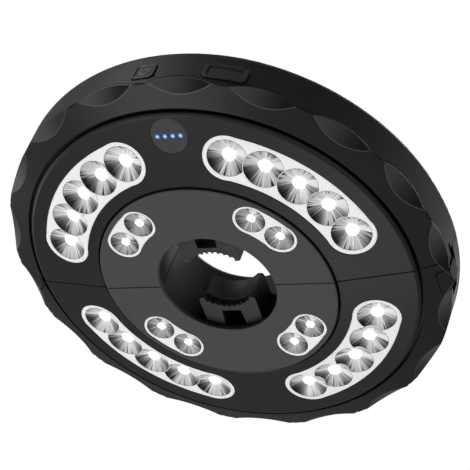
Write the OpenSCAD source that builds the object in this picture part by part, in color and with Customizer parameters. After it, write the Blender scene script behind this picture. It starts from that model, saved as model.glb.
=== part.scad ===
// Clamp-on patio umbrella light: two hinged half rings that close round a pole.
// Millimetres. +Z is the back of the lamp, the LED face looks down and lies on Z = 0.
// The pole runs along Z. The control half is at -Y, the follower half at +Y,
// the hinge is at -X and the latch at +X. "Angle" is measured from +X towards +Y.

/* [Body] */
// Outside diameter of the closed lamp at its side wall
body_d = 205.4; // [196:0.2:216]
// Thickness from the LED face to the top of the back
body_h = 37.5; // [36.5:0.5:42]
// Diameter of the hole that the pole passes through
hole_d = 54.4; // [53.6:0.2:56]
// Thickness of the moulded cover walls
wall_t = 2.2; // [1.8:0.1:2.4]
// Width of the gap where the two halves meet
split_gap = 0.5; // [0.4:0.1:0.8]
// How far the side wall leans in from its widest point to the rim edge
side_draft = 0.6; // [0.3:0.1:1.2]
// Drop of the crowned back from the pole hole to the side wall
crown_drop = 4.4; // [3:0.2:5]
// Rounding of the back's outer edge
back_round = 3.5; // [3:0.1:5]
// Rounding of the back's edge at the pole hole
hole_round = 3; // [2.6:0.1:4]

/* [Front] */
// Width of the flat textured inner ring, from the pole hole outwards
ring_w = 27.5; // [26:0.1:29]
// Thickness of the inner ring, the face plate and the bezel
front_t = 2; // [1.8:0.1:2.2]
// Width of the groove between the inner ring and the face plate
ring_groove = 0.8; // [0.6:0.1:1.2]
// Height of the face plate's inner edge above the LED face
plate_inner_z = 0.8; // [0.6:0.05:1.2]
// Rise of the conical face plate from its inner edge to its outer edge
plate_rise = 5.6; // [4.8:0.05:6]
// Width of the groove between the face plate and the bezel
bezel_groove = 1.3; // [0.9:0.1:1.5]
// Width of the bezel, from the groove to the rim edge
bezel_w = 10.8; // [10.1:0.1:11.4]
// Step up from the face plate's outer edge to the bezel's inner edge
bezel_step = 1.1; // [0.6:0.1:1.6]
// Rise of the bezel from its inner edge to the rim edge
bezel_rise = 4.6; // [4:0.1:5.4]
// Upright land of the bezel at the rim edge
rim_land = 0.8; // [0.6:0.1:1]
// Width of the seam line between the bezel and the back cover
seam = 0.3; // [0.2:0.05:0.4]
// Small bevel on the front edges
edge_bevel = 0.4; // [0.2:0.1:0.5]
// Width of the rounded outer edge of the face plate
plate_edge = 1.5; // [1:0.1:1.8]

/* [Scallops] */
// Number of scooped scallops round the whole rim
scallop_count = 18; // [12:2:18]
// Angle of the first scallop
scallop_phase = -4; // [-6:1:0]
// Share of the rim edge that the scallops take
scallop_share = 0.76; // [0.6:0.02:0.84]
// Depth of a scallop below the rim edge
scallop_depth = 1.9; // [1.5:0.1:2.2]
// Thickness of the bezel's lip along a scallop's upper edge
scallop_lip = 0.6; // [0.4:0.1:0.8]
// Wall behind a scallop's floor
scallop_wall = 1.6; // [1.2:0.1:1.8]

/* [Lights] */
// Place of the outer row of lights across the face plate, as a share of its width
outer_row_share = 0.465; // [0.44:0.005:0.5]
// Lights in one outer strip
outer_row_n = 5; // [3:1:5]
// Angle between neighbouring outer lights
outer_row_pitch = 12.7; // [12.2:0.1:13]
// Width of an outer slot as a share of the face plate's width
outer_slot_share = 0.622; // [0.58:0.002:0.64]
// White border round the outer lenses
outer_border = 1.9; // [1.7:0.1:2.6]
// Place of the inner row of lights across the inner ring, as a share of its width
inner_row_share = 0.64; // [0.62:0.005:0.66]
// Lights in one inner strip
inner_row_n = 2; // [1:1:2]
// Angle between neighbouring inner lights
inner_row_pitch = 18.8; // [18.2:0.1:20]
// Width of an inner slot as a share of the inner ring's width
inner_slot_share = 0.574; // [0.55:0.002:0.58]
// White border round the inner lenses
inner_border = 1.2; // [1.1:0.1:1.8]
// Thickness of every circuit board
board_t = 1.6; // [1.2:0.1:1.6]
// Length of one light emitter
emitter_l = 3.5; // [2.8:0.1:3.5]
// Width of one light emitter
emitter_w = 2.8; // [2:0.1:3.2]
// Height of one light emitter
emitter_h = 0.8; // [0.6:0.1:0.9]

/* [Pole jaws] */
// Diameter of the thinnest pole, which the closed jaws hold
pole_d = 30.4; // [29:0.2:32]
// Outward travel of each jaw
jaw_travel = 7.6; // [6:0.2:7.6]
// Height of a jaw's lower face above the LED face
jaw_z = 4; // [3.9:0.1:5]
// Height of a jaw
jaw_h = 16; // [14:0.5:17]
// Wall of a jaw between its toothed arc and its slot
jaw_web = 3.6; // [3:0.1:3.8]
// Notches along one jaw's toothed arc
tooth_count = 9; // [5:2:9]
// Radius of one notch between two teeth
tooth_notch_r = 1.2; // [0.8:0.1:1.3]
// Height of the toothed lip
tooth_h = 2.4; // [1.6:0.1:3]
// Wire thickness of a jaw spring
spring_wire = 0.8; // [0.6:0.1:1]
// Outside diameter of a jaw spring
spring_d = 6.8; // [6:0.1:7.4]
// Turns of a jaw spring
spring_turns = 6; // [5:1:6]

/* [Hinge] */
// Distance of the hinge pin from the side wall's outside
hinge_inset = 3.1; // [2.9:0.1:4]
// Offset of the hinge pin from the split plane, into the follower half
hinge_y = 2; // [1.4:0.1:2.2]
// Radius of the hinge knuckles
knuckle_r = 6.9; // [6:0.1:7]
// Radius of the hinge pin
hinge_pin_r = 1.5; // [1.2:0.1:1.6]
// Running clearance between the pin and the follower's knuckle
hinge_running = 0.05; // [0.03:0.01:0.09]

/* [Latch] */
// Distance of the latch tab's pivot from the side wall's outside
latch_inset = 3.8; // [3.5:0.1:4.1]
// Distance of the latch tab's pivot from the split plane
latch_y = 14.6; // [14:0.1:15.4]
// Radius of the latch tab's pivot end
latch_end_r = 2.2; // [2:0.1:2.4]
// Top of the latch tab above the LED face
latch_top_z = 20.4; // [19:0.1:21]
// Radius of the latch tab's pin
latch_pin_r = 0.9; // [0.7:0.1:1]

/* [Controls] */
// Angle of the power button on the side wall
button_angle = -94; // [-96:1:-92]
// Height of the power button's and the charging port's centre
controls_z = 19.8; // [19.6:0.1:20.4]
// Width of the power button
button_w = 10; // [9:0.2:10.4]
// Height of the power button
button_h = 9; // [8:0.2:9.4]
// Press travel of the power button
button_travel = 0.6; // [0.3:0.1:0.8]
// Angle of the charging port on the side wall
port_angle = -74; // [-76:1:-73]
// Width of the rubber port cover
port_cover_w = 18.5; // [17.5:0.5:19]
// Height of the rubber port cover
port_cover_h = 9.2; // [8.8:0.2:9.6]
// Angle of the charge indicator window in the face plate
window_angle = -89; // [-91:0.5:-88]
// Distance of the indicator window's centre from the face plate's outer edge
window_inset = 10.3; // [10:0.1:11]
// Radius of the indicator window
window_r = 8.2; // [7:0.1:8.4]
// Lights behind the indicator window
indicator_n = 4; // [3:1:4]
// Distance between neighbouring indicator lights
indicator_pitch = 3.5; // [3:0.1:3.6]

/* [Battery] */
// Diameter of the battery cell
cell_d = 18.4; // [18:0.1:18.6]
// Length of the battery cell
cell_l = 65; // [60:1:66]
// Distance of the cell's axis from the side wall's outside
cell_inset = 34.7; // [34.3:0.1:35.2]

/* [Hanging hooks] */
// Distance of the hooks' middle line from the edge of the pole hole
hook_inset = 18.8; // [17.8:0.2:19.2]
// Distance from a hook's pin to the middle of its eye
hook_reach = 22; // [18:0.5:23]
// Outer radius of a hook's eye
hook_eye_r = 9; // [8:0.1:9.2]
// Thickness of a hook
hook_t = 2.8; // [2.4:0.1:3]
// Radius of a hook's pin
hook_pin_r = 0.9; // [0.8:0.05:1]

/* [Fasteners] */
// Distance of the inner case screws from the edge of the pole hole
inner_screw_inset = 6.6; // [6.2:0.1:7.2]
// Radius of a case screw's shank
screw_r = 1.25; // [1:0.05:1.4]
// Radius of a case screw's head
screw_head_r = 2.5; // [2.2:0.1:2.7]
// Radius of a moulded screw post
post_r = 3.5; // [3.2:0.1:3.6]

/* [Hidden] */
$fn = 96;
body_r = body_d / 2;
hole_r = hole_d / 2;
rim_r = body_r - side_draft;
ring_r = hole_r + ring_w;
bezel_inner_r = rim_r - bezel_w;
plate_r = bezel_inner_r - bezel_groove;
plate_outer_z = plate_inner_z + plate_rise;
bezel_inner_z = plate_outer_z + bezel_step;
rim_z = bezel_inner_z + bezel_rise;
outer_board_z = rim_z - 0.3;
inner_board_z = outer_board_z - 3.6;
far = 2 * body_r;
fit_gap = 0.15;
move_gap = 0.35;
end_wall_t = wall_t;
control = -1;
follower = 1;

// The crowned back is part of a sphere through the hole's edge and the side wall
crown_low = body_h - crown_drop;
crown_span = body_r * body_r - hole_r * hole_r + crown_low * crown_low - body_h * body_h;
crown_c = -crown_span / (2 * crown_drop);
crown_r = sqrt(hole_r * hole_r + (body_h - crown_c) * (body_h - crown_c));
wall_top_z = crown_low - back_round - 0.4;

// Front surfaces as heights over the radius
plate_inner_r = ring_r + ring_groove;
plate_slope = (plate_outer_z - plate_inner_z) / (plate_r - plate_inner_r);
plate_w = plate_r - plate_inner_r;
bezel_slope = (rim_z - bezel_inner_z) / (rim_r - bezel_inner_r);
cover_z = rim_z + rim_land + seam;
skirt_r = rim_r - wall_t - 0.3;
skirt_t = 1.7;
skirt_top_z = cover_z + 3.8;
ledge_t = 1.8;
ledge_r = plate_r - 5.6;
ring_ledge_z = 6.6;
ring_ledge_t = 1.6;

// Scallops: a cylinder lying at 45 degrees scoops the rim edge
scallop_pitch = 360 / scallop_count;
scallop_half_angle = scallop_share * scallop_pitch / 2;
scallop_w = 2 * rim_r * sin(scallop_half_angle);
scallop_sag = rim_r * (1 - cos(scallop_half_angle)) * cos(45);
scallop_rise = scallop_depth - scallop_sag;
scoop_r = (scallop_w * scallop_w / 4 + scallop_rise * scallop_rise) / (2 * scallop_rise);

// Lights
outer_row_r = plate_inner_r + outer_row_share * plate_w;
outer_slot_half = outer_slot_share * plate_w / 2;
outer_lens_r = outer_slot_half - outer_border;
inner_row_r = hole_r + inner_row_share * ring_w;
inner_slot_half = inner_slot_share * ring_w / 2;
inner_lens_r = inner_slot_half - inner_border;
lens_recess = 0.2;
tray_recess = 0.3;
tray_face_t = 2;
tray_wall = 1.2;
lens_flange_t = 1;
outer_row_mid = 45;
inner_row_mid = 44.8;
slot_waist = 0.2;

// Jaws and their guides
pole_r = pole_d / 2;
jaw_half = hole_r / 2;
jaw_tip_y = 0.71 * pole_r;
jaw_end_y = hole_r + 6.8;
jaw_arm_in = 5.2;
tooth_pitch = 9.7;
tooth_relief = 1.6;
jaw_top_z = jaw_z + jaw_h;
jaw_lug = 1.4;
jaw_lug_l = 3;
throat_r = hole_r + wall_t;
jaw_window_half = jaw_half + 0.6;
jaw_lug_y = sqrt(throat_r * throat_r - jaw_window_half * jaw_window_half) + 0.3;
guide_t = 1.6;
guide_in = jaw_half + jaw_lug + move_gap;
guide_front_y = throat_r + 1.6;
guide_back_y = jaw_end_y + jaw_travel + 6.6;
guide_top_z = jaw_top_z + 0.4;
guide_floor_t = jaw_z - 0.4 - front_t;
spring_x = (jaw_half + jaw_arm_in) / 2;
spring_z = jaw_z + jaw_h / 2;
spring_mean_r = (spring_d - spring_wire) / 2;
peg_r = spring_mean_r - spring_wire / 2 - 0.4;
peg_l = 2.8;

// Hinge knuckles, stacked along Z
hinge_x = body_r - hinge_inset;
knuckle_gap = 0.4;
knuckle_a = cover_z + 5.4;
knuckle_b = knuckle_a + 9;
hinge_pin_z0 = cover_z + 2.2;
hinge_pin_z1 = knuckle_b + 4.2;
hinge_clear_r = knuckle_r + move_gap;

// Latch
latch_x = body_r - latch_inset;
latch_near_y = latch_y - 9.7;
latch_in_x = latch_x - latch_end_r;
latch_out_x = body_r + 0.3;
hook_arm_x = rim_r - 2;
hook_arm_t = 1.6;
hook_arm_z0 = cover_z + 3.2;
hook_arm_z1 = latch_top_z - 0.4;
barb_reach = 1.6;
catch_wall = 1.2;
barb_y0 = split_gap / 2 + catch_wall + 0.35;
barb_y1 = barb_y0 + 1.5;
latch_pocket_x = latch_in_x - 0.7;
latch_pocket_y = latch_y + 8;
latch_pocket_z = latch_top_z + 2.4;
catch_x = hook_arm_x - 0.5;
latch_pin_z = rim_z + 0.4;

// Controls
window_row_r = plate_r - window_inset;
cell_y = body_r - cell_inset;
hook_y = hole_r + hook_inset;
outer_screw_r = plate_r - 0.4;
inner_screw_r = hole_r + inner_screw_inset;
button_round = 1.8;
button_proud = 0.4;
button_flange = 1;
button_stem_r = 1.3;
button_stem_l = 4.4;
flange_top_r = rim_r - wall_t - 0.3;
port_cover_round = 2.2;
port_recess = 1.5;
port_cover_proud = 0.5;
port_pad_t = 1.6;
port_bead_r = 0.6;
port_bead_l = port_cover_w - 2 * port_cover_round - 1.4;
port_bead_z = controls_z + port_cover_h / 2 - 0.6;
plug_w = 9.2;
plug_h = 4;
socket_w = 9;
socket_h = 3.2;
socket_l = 7.4;
charge_board_z = controls_z - socket_h / 2 - board_t;
charge_board_r = body_r - 6.6;
charge_board_y = cell_y + cell_d / 2 + 1.8;
switch_w = 6;
switch_h = 3.6;
switch_l = 3.5;
plunger_r = 1.2;
switch_face_r = charge_board_r - 3.6;
window_flange = 1;

// Battery
cell_r = cell_d / 2;
cell_z = outer_board_z + board_t + 0.4 + cell_r;
cradle_t = 4;
cradle_x = cell_l / 2 - 9;
cell_tab_t = 0.3;

// Hanging hooks
hook_pocket_half = hook_eye_r + 0.7;
hook_floor_z = body_h - 5.1;
hook_pin_z = hook_floor_z + 2.2;
hook_hub_r = 1.9;
hook_hub_half = 4;
hook_pin_x = -(hook_reach + hook_eye_r) / 2 - 1;
hook_eye_x = hook_pin_x + hook_reach;
hook_shell = 1.8;
hook_ear_t = 2.2;
hook_ear_y = hook_hub_half + move_gap;

// Case screws
outer_screw_angles = [20, 50, 125, 160];
inner_screw_angles = [20, 160];
screw_head_h = 1.8;
boss_h = 6;
sink_depth = 3;
head_clear = 0.3;

function crown_at(r) = crown_c + sqrt(crown_r * crown_r - r * r);
function plate_at(r) = plate_inner_z + (r - plate_inner_r) * plate_slope;
function wall_at(z) = rim_r + side_draft * (z - rim_z) / (wall_top_z - rim_z);
function bezel_at(r) = bezel_inner_z + (r - bezel_inner_r) * bezel_slope;
function row_angle(mid, n, pitch, i) = mid + (i - (n - 1) / 2) * pitch;

// ---------- Helpers ----------

// Keep only one half ring, set back from the split plane by inset
module half(side, inset) {
    intersection() {
        children();
        translate([-far, side > 0 ? inset : -far - inset, -far])
            cube([2 * far, far, 2 * far]);
    }
}

module revolve() {
    rotate_extrude($fn = 180) children();
}

// Local Z points outwards at the side wall, local X up, at the given angle and height
module on_wall(angle, z) {
    rotate([0, 0, angle]) translate([0, 0, z]) rotate([0, 90, 0]) rotate([0, 0, 180]) children();
}

module round_rect(w, h, r) {
    square([w - 2 * r, h], center = true);
    square([w, h - 2 * r], center = true);
    for (x = [-1, 1])
        for (y = [-1, 1])
            translate([x * (w / 2 - r), y * (h / 2 - r)]) circle(r);
}

// A bent slot with a slight waist, from the first light to the last
module bean(r, mid, n, pitch, half_w) {
    a = (n - 1) / 2 * pitch;
    reach = 3 * r;
    intersection() {
        difference() {
            circle(r + half_w - slot_waist, $fn = 180);
            circle(r - half_w + slot_waist, $fn = 180);
        }
        polygon([[0, 0], reach * [cos(mid - a), sin(mid - a)],
            reach * [cos(mid), sin(mid)], reach * [cos(mid + a), sin(mid + a)]]);
    }
    for (i = [0, n - 1])
        rotate(row_angle(mid, n, pitch, i)) translate([r, 0]) circle(half_w);
}

module lens_circles(r, mid, n, pitch, lens_r) {
    for (i = [0 : n - 1])
        rotate(row_angle(mid, n, pitch, i)) translate([r, 0]) circle(lens_r);
}

module upright(z0, z1) {
    translate([0, 0, z0]) linear_extrude(height = z1 - z0) children();
}

// ---------- Sections of the turned parts (radius, height) ----------

// Everything inside the cover's outer surface, set in by t on every wall
module cover_section(t, z0) {
    round_out = max(back_round - t, 0.6);
    round_in = max(hole_round - t, 0.6);
    out_x = body_r - t - round_out;
    in_x = hole_r + t + round_in;
    inner_crown = crown_r - t;
    out_z = crown_c + sqrt(pow(inner_crown - round_out, 2) - out_x * out_x);
    in_z = crown_c + sqrt(pow(inner_crown - round_in, 2) - in_x * in_x);
    difference() {
        intersection() {
            polygon([[hole_r + t, z0], [rim_r - t, z0], [rim_r - t, rim_z],
                [body_r - t, wall_top_z], [body_r - t, body_h + 1], [hole_r + t, body_h + 1]]);
            translate([0, crown_c]) circle(inner_crown, $fn = 1440);
        }
        difference() {
            translate([out_x, out_z]) square(2 * round_out + crown_drop);
            translate([out_x, out_z]) circle(round_out);
        }
        difference() {
            translate([in_x - 3 * round_in, in_z]) square(3 * round_in);
            translate([in_x, in_z]) circle(round_in);
        }
    }
}

module bezel_section() {
    inner_leg = bezel_inner_r + 1.8;
    skirt_in = skirt_r - skirt_t;
    polygon([
        [bezel_inner_r, bezel_inner_z + edge_bevel],
        [bezel_inner_r + edge_bevel, bezel_at(bezel_inner_r + edge_bevel)],
        [rim_r - edge_bevel, bezel_at(rim_r - edge_bevel)],
        [rim_r, rim_z + edge_bevel],
        [rim_r, rim_z + rim_land],
        [skirt_r, rim_z + rim_land],
        [skirt_r, skirt_top_z],
        [skirt_in, skirt_top_z],
        [skirt_in, bezel_at(skirt_in) + front_t],
        [inner_leg, bezel_at(inner_leg) + front_t],
        [inner_leg, outer_board_z],
        [ledge_r, outer_board_z],
        [ledge_r, outer_board_z - ledge_t],
        [bezel_inner_r, outer_board_z - ledge_t]
    ]);
}

module plate_section() {
    leg_out = plate_r - 1.8;
    leg_in = plate_inner_r + 1.8;
    polygon([
        [plate_inner_r, plate_inner_z + edge_bevel],
        [plate_inner_r + edge_bevel, plate_at(plate_inner_r + edge_bevel)],
        [plate_r - plate_edge, plate_at(plate_r - plate_edge)],
        [plate_r - 0.5 * plate_edge, plate_at(plate_r - plate_edge) + 0.35 * plate_edge],
        [plate_r - 0.14 * plate_edge, plate_at(plate_r - plate_edge) + 0.75 * plate_edge],
        [plate_r, plate_at(plate_r - plate_edge) + 1.25 * plate_edge],
        [plate_r, outer_board_z - ledge_t],
        [leg_out, outer_board_z - ledge_t],
        [leg_out, plate_at(leg_out) + front_t],
        [leg_in, plate_at(leg_in) + front_t],
        [leg_in, ring_ledge_z],
        [plate_inner_r, ring_ledge_z]
    ]);
}

module ring_section() {
    leg = ring_r - 1.8;
    polygon([
        [hole_r, edge_bevel],
        [hole_r + edge_bevel, 0],
        [ring_r - edge_bevel, 0],
        [ring_r, edge_bevel],
        [ring_r, ring_ledge_z],
        [ring_r + ring_groove + 2.6, ring_ledge_z],
        [ring_r + ring_groove + 2.6, ring_ledge_z + ring_ledge_t],
        [leg, ring_ledge_z + ring_ledge_t],
        [leg, front_t],
        [hole_r, front_t]
    ]);
}

// A band parallel to the face plate, from depth d0 to depth d1 behind its face
module plate_band(d0, d1) {
    r0 = plate_inner_r - 2;
    r1 = plate_r + 2;
    polygon([[r0, plate_at(r0) + d0], [r1, plate_at(r1) + d0],
        [r1, plate_at(r1) + d1], [r0, plate_at(r0) + d1]]);
}

// ---------- Scallops ----------

module scoop(angle, grow) {
    rotate([0, 0, angle]) translate([rim_r, 0, rim_z]) rotate([0, 45, 0])
        translate([scoop_r - scallop_depth, 0, 0])
            cylinder(r = scoop_r + grow, h = 44, center = true, $fn = 360);
}

// The scallops that reach into one half
module scoops(side, grow) {
    for (k = [0 : scallop_count - 1]) {
        angle = scallop_phase + k * scallop_pitch;
        if (side * sin(angle) > -sin(scallop_half_angle)) scoop(angle, grow);
    }
}

// ---------- Places on both halves ----------

module outer_screws(side) {
    for (a = outer_screw_angles)
        rotate([0, 0, side * a]) translate([outer_screw_r, 0, 0]) children();
}

module inner_screws(side) {
    for (a = inner_screw_angles)
        rotate([0, 0, side * a]) translate([inner_screw_r, 0, 0]) children();
}

module at_hinge() {
    translate([-hinge_x, hinge_y, 0]) children();
}

// Put something made for the control half on either half, turned about the pole
module turned(side) {
    rotate([0, 0, side > 0 ? 180 : 0]) children();
}

// ---------- Back covers ----------

module screw_post(z0, z1) {
    translate([0, 0, z0]) cylinder(r = post_r, h = z1 - z0);
}

module screw_way(z0, top_z) {
    translate([0, 0, z0 - 1]) cylinder(r = screw_r + 0.25, h = top_z - z0 + 2);
    translate([0, 0, top_z - sink_depth]) cylinder(r = screw_head_r + head_clear, h = 10);
}

module hook_pocket_block() {
    x0 = hook_pin_x - 4 - hook_shell;
    x1 = hook_eye_x + hook_eye_r + 1.2 + hook_shell;
    w = hook_pocket_half + hook_shell;
    translate([x0, -hook_y - w, hook_floor_z - hook_shell]) cube([x1 - x0, 2 * w, 20]);
}

module hook_pocket() {
    x0 = hook_pin_x - 4;
    x1 = hook_eye_x + hook_eye_r + 1.2;
    translate([(x0 + x1) / 2, -hook_y, hook_floor_z]) linear_extrude(height = 20)
        round_rect(x1 - x0, 2 * hook_pocket_half, 4);
}

module hook_ears() {
    for (s = [-1, 1])
        translate([hook_pin_x - 2.4, -hook_y + s * (hook_ear_y + hook_ear_t / 2) - hook_ear_t / 2,
            hook_floor_z - 0.1])
            cube([4.8, hook_ear_t, hook_pin_z - hook_floor_z + 1.9]);
}

module hook_pin_way() {
    translate([hook_pin_x, -hook_y, hook_pin_z]) rotate([90, 0, 0])
        cylinder(r = hook_pin_r, h = 2 * (hook_ear_y + hook_ear_t + 0.2), center = true);
}

module jaw_window() {
    translate([-jaw_window_half, -throat_r - 1, jaw_z - 0.4])
        cube([2 * jaw_window_half, throat_r - 12, jaw_h + 0.8]);
}

module cover_body(side) {
    outer_floor = outer_board_z + boss_h;
    inner_floor = front_t + boss_h + 3;
    half(side, split_gap / 2) union() {
        difference() {
            revolve() cover_section(0, cover_z);
            half(side, split_gap / 2 + end_wall_t) revolve() cover_section(wall_t, -1);
        }
        intersection() {
            revolve() cover_section(0, 0);
            union() {
                outer_screws(side) screw_post(outer_floor, body_h);
                inner_screws(side) screw_post(inner_floor, body_h);
                turned(side) hook_pocket_block();
            }
        }
        throat_foot();
    }
}

// The throat wall reaches down to the back of the inner ring
module throat_foot() {
    revolve() translate([hole_r, front_t]) square([wall_t, cover_z - front_t + 1]);
}

module cover_cuts(side) {
    turned(side) jaw_window();
    turned(side) hook_pocket();
    outer_screws(side) screw_way(outer_board_z, crown_at(outer_screw_r));
    inner_screws(side) screw_way(front_t, crown_at(inner_screw_r));
    scoops(side, scallop_lip + seam);
    at_jumper_wires() cylinder(r = 1.6, h = 2 * split_gap + 4 * end_wall_t, center = true);
}

module back_cover_control() {
    color("#161616") difference() {
        union() {
            difference() {
                union() {
                    cover_body(control);
                    control_wall_pads();
                    hinge_cup(control, knuckle_a, knuckle_b);
                    hinge_knuckle(cover_z, knuckle_a - knuckle_gap);
                    hinge_knuckle(knuckle_b + knuckle_gap, body_h);
                }
                cover_cuts(control);
                at_hinge() translate([0, 0, knuckle_a])
                    cylinder(r = hinge_clear_r, h = knuckle_b - knuckle_a);
                button_hole();
                port_hole();
                latch_catch_notch();
            }
            turned(control) hook_ears();
        }
        at_hinge() translate([0, 0, hinge_pin_z0])
            cylinder(r = hinge_pin_r, h = hinge_pin_z1 - hinge_pin_z0);
        turned(control) hook_pin_way();
    }
}

module back_cover_follower() {
    color("#161616") difference() {
        union() {
            difference() {
                union() {
                    cover_body(follower);
                    hinge_cup(follower, cover_z, knuckle_a);
                    hinge_cup(follower, knuckle_b, body_h);
                    latch_pocket_shell();
                }
                cover_cuts(follower);
                at_hinge() translate([0, 0, cover_z - 1])
                    cylinder(r = hinge_clear_r, h = knuckle_a - cover_z + 1);
                at_hinge() translate([0, 0, knuckle_b]) cylinder(r = hinge_clear_r, h = 30);
                latch_pocket();
            }
            turned(follower) hook_ears();
            hinge_knuckle(knuckle_a + knuckle_gap, knuckle_b - knuckle_gap);
        }
        at_hinge() cylinder(r = hinge_pin_r + hinge_running, h = 2 * body_h);
        turned(follower) hook_pin_way();
        latch_pin_way(latch_pin_r);
    }
}

// ---------- Hinge ----------

// A knuckle is flush with the outer surface of the lamp
module hinge_knuckle(z0, z1) {
    intersection() {
        revolve() cover_section(0, 0);
        at_hinge() translate([0, 0, z0]) cylinder(r = knuckle_r, h = z1 - z0);
    }
}

// The wall round the room that a knuckle of the other half turns in
module hinge_cup(side, z0, z1) {
    half(side, split_gap / 2) intersection() {
        revolve() cover_section(0, cover_z);
        at_hinge() translate([0, 0, z0 - 1])
            cylinder(r = hinge_clear_r + wall_t, h = z1 - z0 + 2);
    }
}

module hinge_pin() {
    color("#b8bcc0") at_hinge() translate([0, 0, hinge_pin_z0])
        cylinder(r = hinge_pin_r, h = hinge_pin_z1 - hinge_pin_z0 - 0.2);
}

module at_jumper_wires() {
    for (z = [cover_z + 7.6, cover_z + 12.4])
        translate([-(hinge_x - hinge_clear_r - wall_t - 3), 0, z]) rotate([90, 0, 0]) children();
}

// Two leads from the charge board to the follower half's lights
module jumper_wires() {
    color("#7a1512") at_jumper_wires()
        cylinder(r = 0.75, h = 2 * (split_gap / 2 + end_wall_t) + 9, center = true);
}

// ---------- Bezels ----------

// The rim corner between the bezel's face and the side wall
module rim_section() {
    polygon([[bezel_inner_r, bezel_inner_z], [rim_r, rim_z],
        [wall_at(skirt_top_z), skirt_top_z], [bezel_inner_r, skirt_top_z]]);
}

// The scooped floors that carry the bezel into the side wall
module scallop_floors(side) {
    intersection() {
        revolve() rim_section();
        union() {
            scoops(side, scallop_lip);
            intersection() {
                scoops(side, scallop_wall);
                cylinder(r = skirt_r, h = body_h, $fn = 180);
            }
        }
    }
}

module bezel_body(side) {
    half(side, split_gap / 2) union() {
        difference() {
            union() {
                revolve() bezel_section();
                scallop_floors(side);
            }
            intersection() {
                wall_reliefs(side);
                translate([0, 0, cover_z - seam]) cylinder(r = skirt_r + 0.3, h = body_h, $fn = 180);
            }
        }
        outer_screws(side) translate([0, 0, outer_board_z - 0.1])
            cylinder(r = post_r - 0.4, h = boss_h + 0.1);
    }
}

module bezel_cuts(side) {
    scoops(side, 0);
    outer_screws(side) translate([0, 0, outer_board_z - 0.6])
        cylinder(r = screw_r, h = boss_h + 1);
}

// Room in the bezel's skirt for what sits in the side wall
module wall_reliefs(side) {
    at_hinge() cylinder(r = hinge_clear_r + wall_t + 0.3, h = body_h);
    if (side < 0) {
        on_wall(button_angle, controls_z) translate([0, 0, body_r - 8]) linear_extrude(height = 8)
            square([button_h + 3, button_w + 3], center = true);
        on_wall(port_angle, controls_z) translate([0, 0, body_r - 8]) linear_extrude(height = 8)
            square([port_cover_h + 2, port_cover_w + 4.6], center = true);
        translate([catch_x - 3, -barb_y1 - 2, 0]) cube([10, barb_y1 + 2, body_h]);
    } else {
        translate([latch_pocket_x - hook_shell - 0.4, 0, 0])
            cube([12, latch_pocket_y + hook_shell + 0.6, body_h]);
    }
}

// The finger of the control half's bezel that covers its lower knuckle
module bezel_finger() {
    intersection() {
        union() {
            revolve() polygon([[bezel_inner_r, bezel_inner_z], [rim_r, rim_z],
                [rim_r, rim_z + rim_land], [bezel_inner_r, rim_z + rim_land]]);
            intersection() {
                revolve() rim_section();
                scoops(control, scallop_lip);
            }
        }
        at_hinge() cylinder(r = knuckle_r, h = body_h);
    }
}

module bezel_control() {
    color("#3a3a3a") difference() {
        union() {
            bezel_body(control);
            bezel_finger();
        }
        bezel_cuts(control);
    }
}

module bezel_follower() {
    color("#3a3a3a") difference() {
        union() {
            bezel_body(follower);
            half(follower, split_gap / 2) intersection() {
                revolve() polygon([[bezel_inner_r, bezel_inner_z], [rim_r, rim_z],
                    [rim_r, rim_z + rim_land], [bezel_inner_r, rim_z + rim_land]]);
                at_hinge() cylinder(r = hinge_clear_r + 1.8, h = body_h);
            }
        }
        bezel_cuts(follower);
        at_hinge() cylinder(r = hinge_clear_r + 0.2, h = body_h);
        upright(0, body_h) latch_outline(move_gap);
    }
}

// ---------- Face plates and inner rings ----------

module outer_slots(side, half_w) {
    for (mid = [outer_row_mid, 180 - outer_row_mid])
        bean(outer_row_r, side * mid, outer_row_n, outer_row_pitch, half_w);
}

module inner_slots(side, half_w) {
    for (mid = [inner_row_mid, 180 - inner_row_mid])
        bean(inner_row_r, side * mid, inner_row_n, inner_row_pitch, half_w);
}

module face_plate(side) {
    difference() {
        half(side, split_gap / 2) revolve() plate_section();
        upright(-1, body_h) outer_slots(side, outer_slot_half);
        if (side < 0) at_window() cylinder(r = window_r + fit_gap, h = body_h, center = true);
    }
}

module face_plate_control() { color("#2c2c2c") face_plate(control); }
module face_plate_follower() { color("#2c2c2c") face_plate(follower); }

module inner_ring(side) {
    difference() {
        half(side, split_gap / 2) union() {
            revolve() ring_section();
            inner_screws(side) translate([0, 0, 0.6])
                cylinder(r = post_r - 0.4, h = boss_h + front_t + 2.4);
        }
        upright(-1, body_h) inner_slots(side, inner_slot_half);
        inner_screws(side) translate([0, 0, front_t]) cylinder(r = screw_r, h = boss_h + 4);
    }
}

module inner_ring_control() { color("#4a4a4a") inner_ring(control); }
module inner_ring_follower() { color("#4a4a4a") inner_ring(follower); }

// ---------- Light trays and lenses ----------

module outer_tray(mid) {
    color("#f2f2f2") difference() {
        intersection() {
            revolve() polygon([
                [plate_inner_r, plate_at(plate_inner_r) + tray_recess],
                [plate_r, plate_at(plate_r) + tray_recess],
                [plate_r, outer_board_z], [plate_inner_r, outer_board_z]]);
            upright(-1, body_h)
                bean(outer_row_r, mid, outer_row_n, outer_row_pitch, outer_slot_half - fit_gap);
        }
        intersection() {
            revolve() plate_band(tray_recess + tray_face_t, body_h);
            upright(-1, body_h)
                bean(outer_row_r, mid, outer_row_n, outer_row_pitch, outer_slot_half - fit_gap - tray_wall);
        }
        upright(-1, body_h)
            lens_circles(outer_row_r, mid, outer_row_n, outer_row_pitch, outer_lens_r + fit_gap);
    }
}

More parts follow.
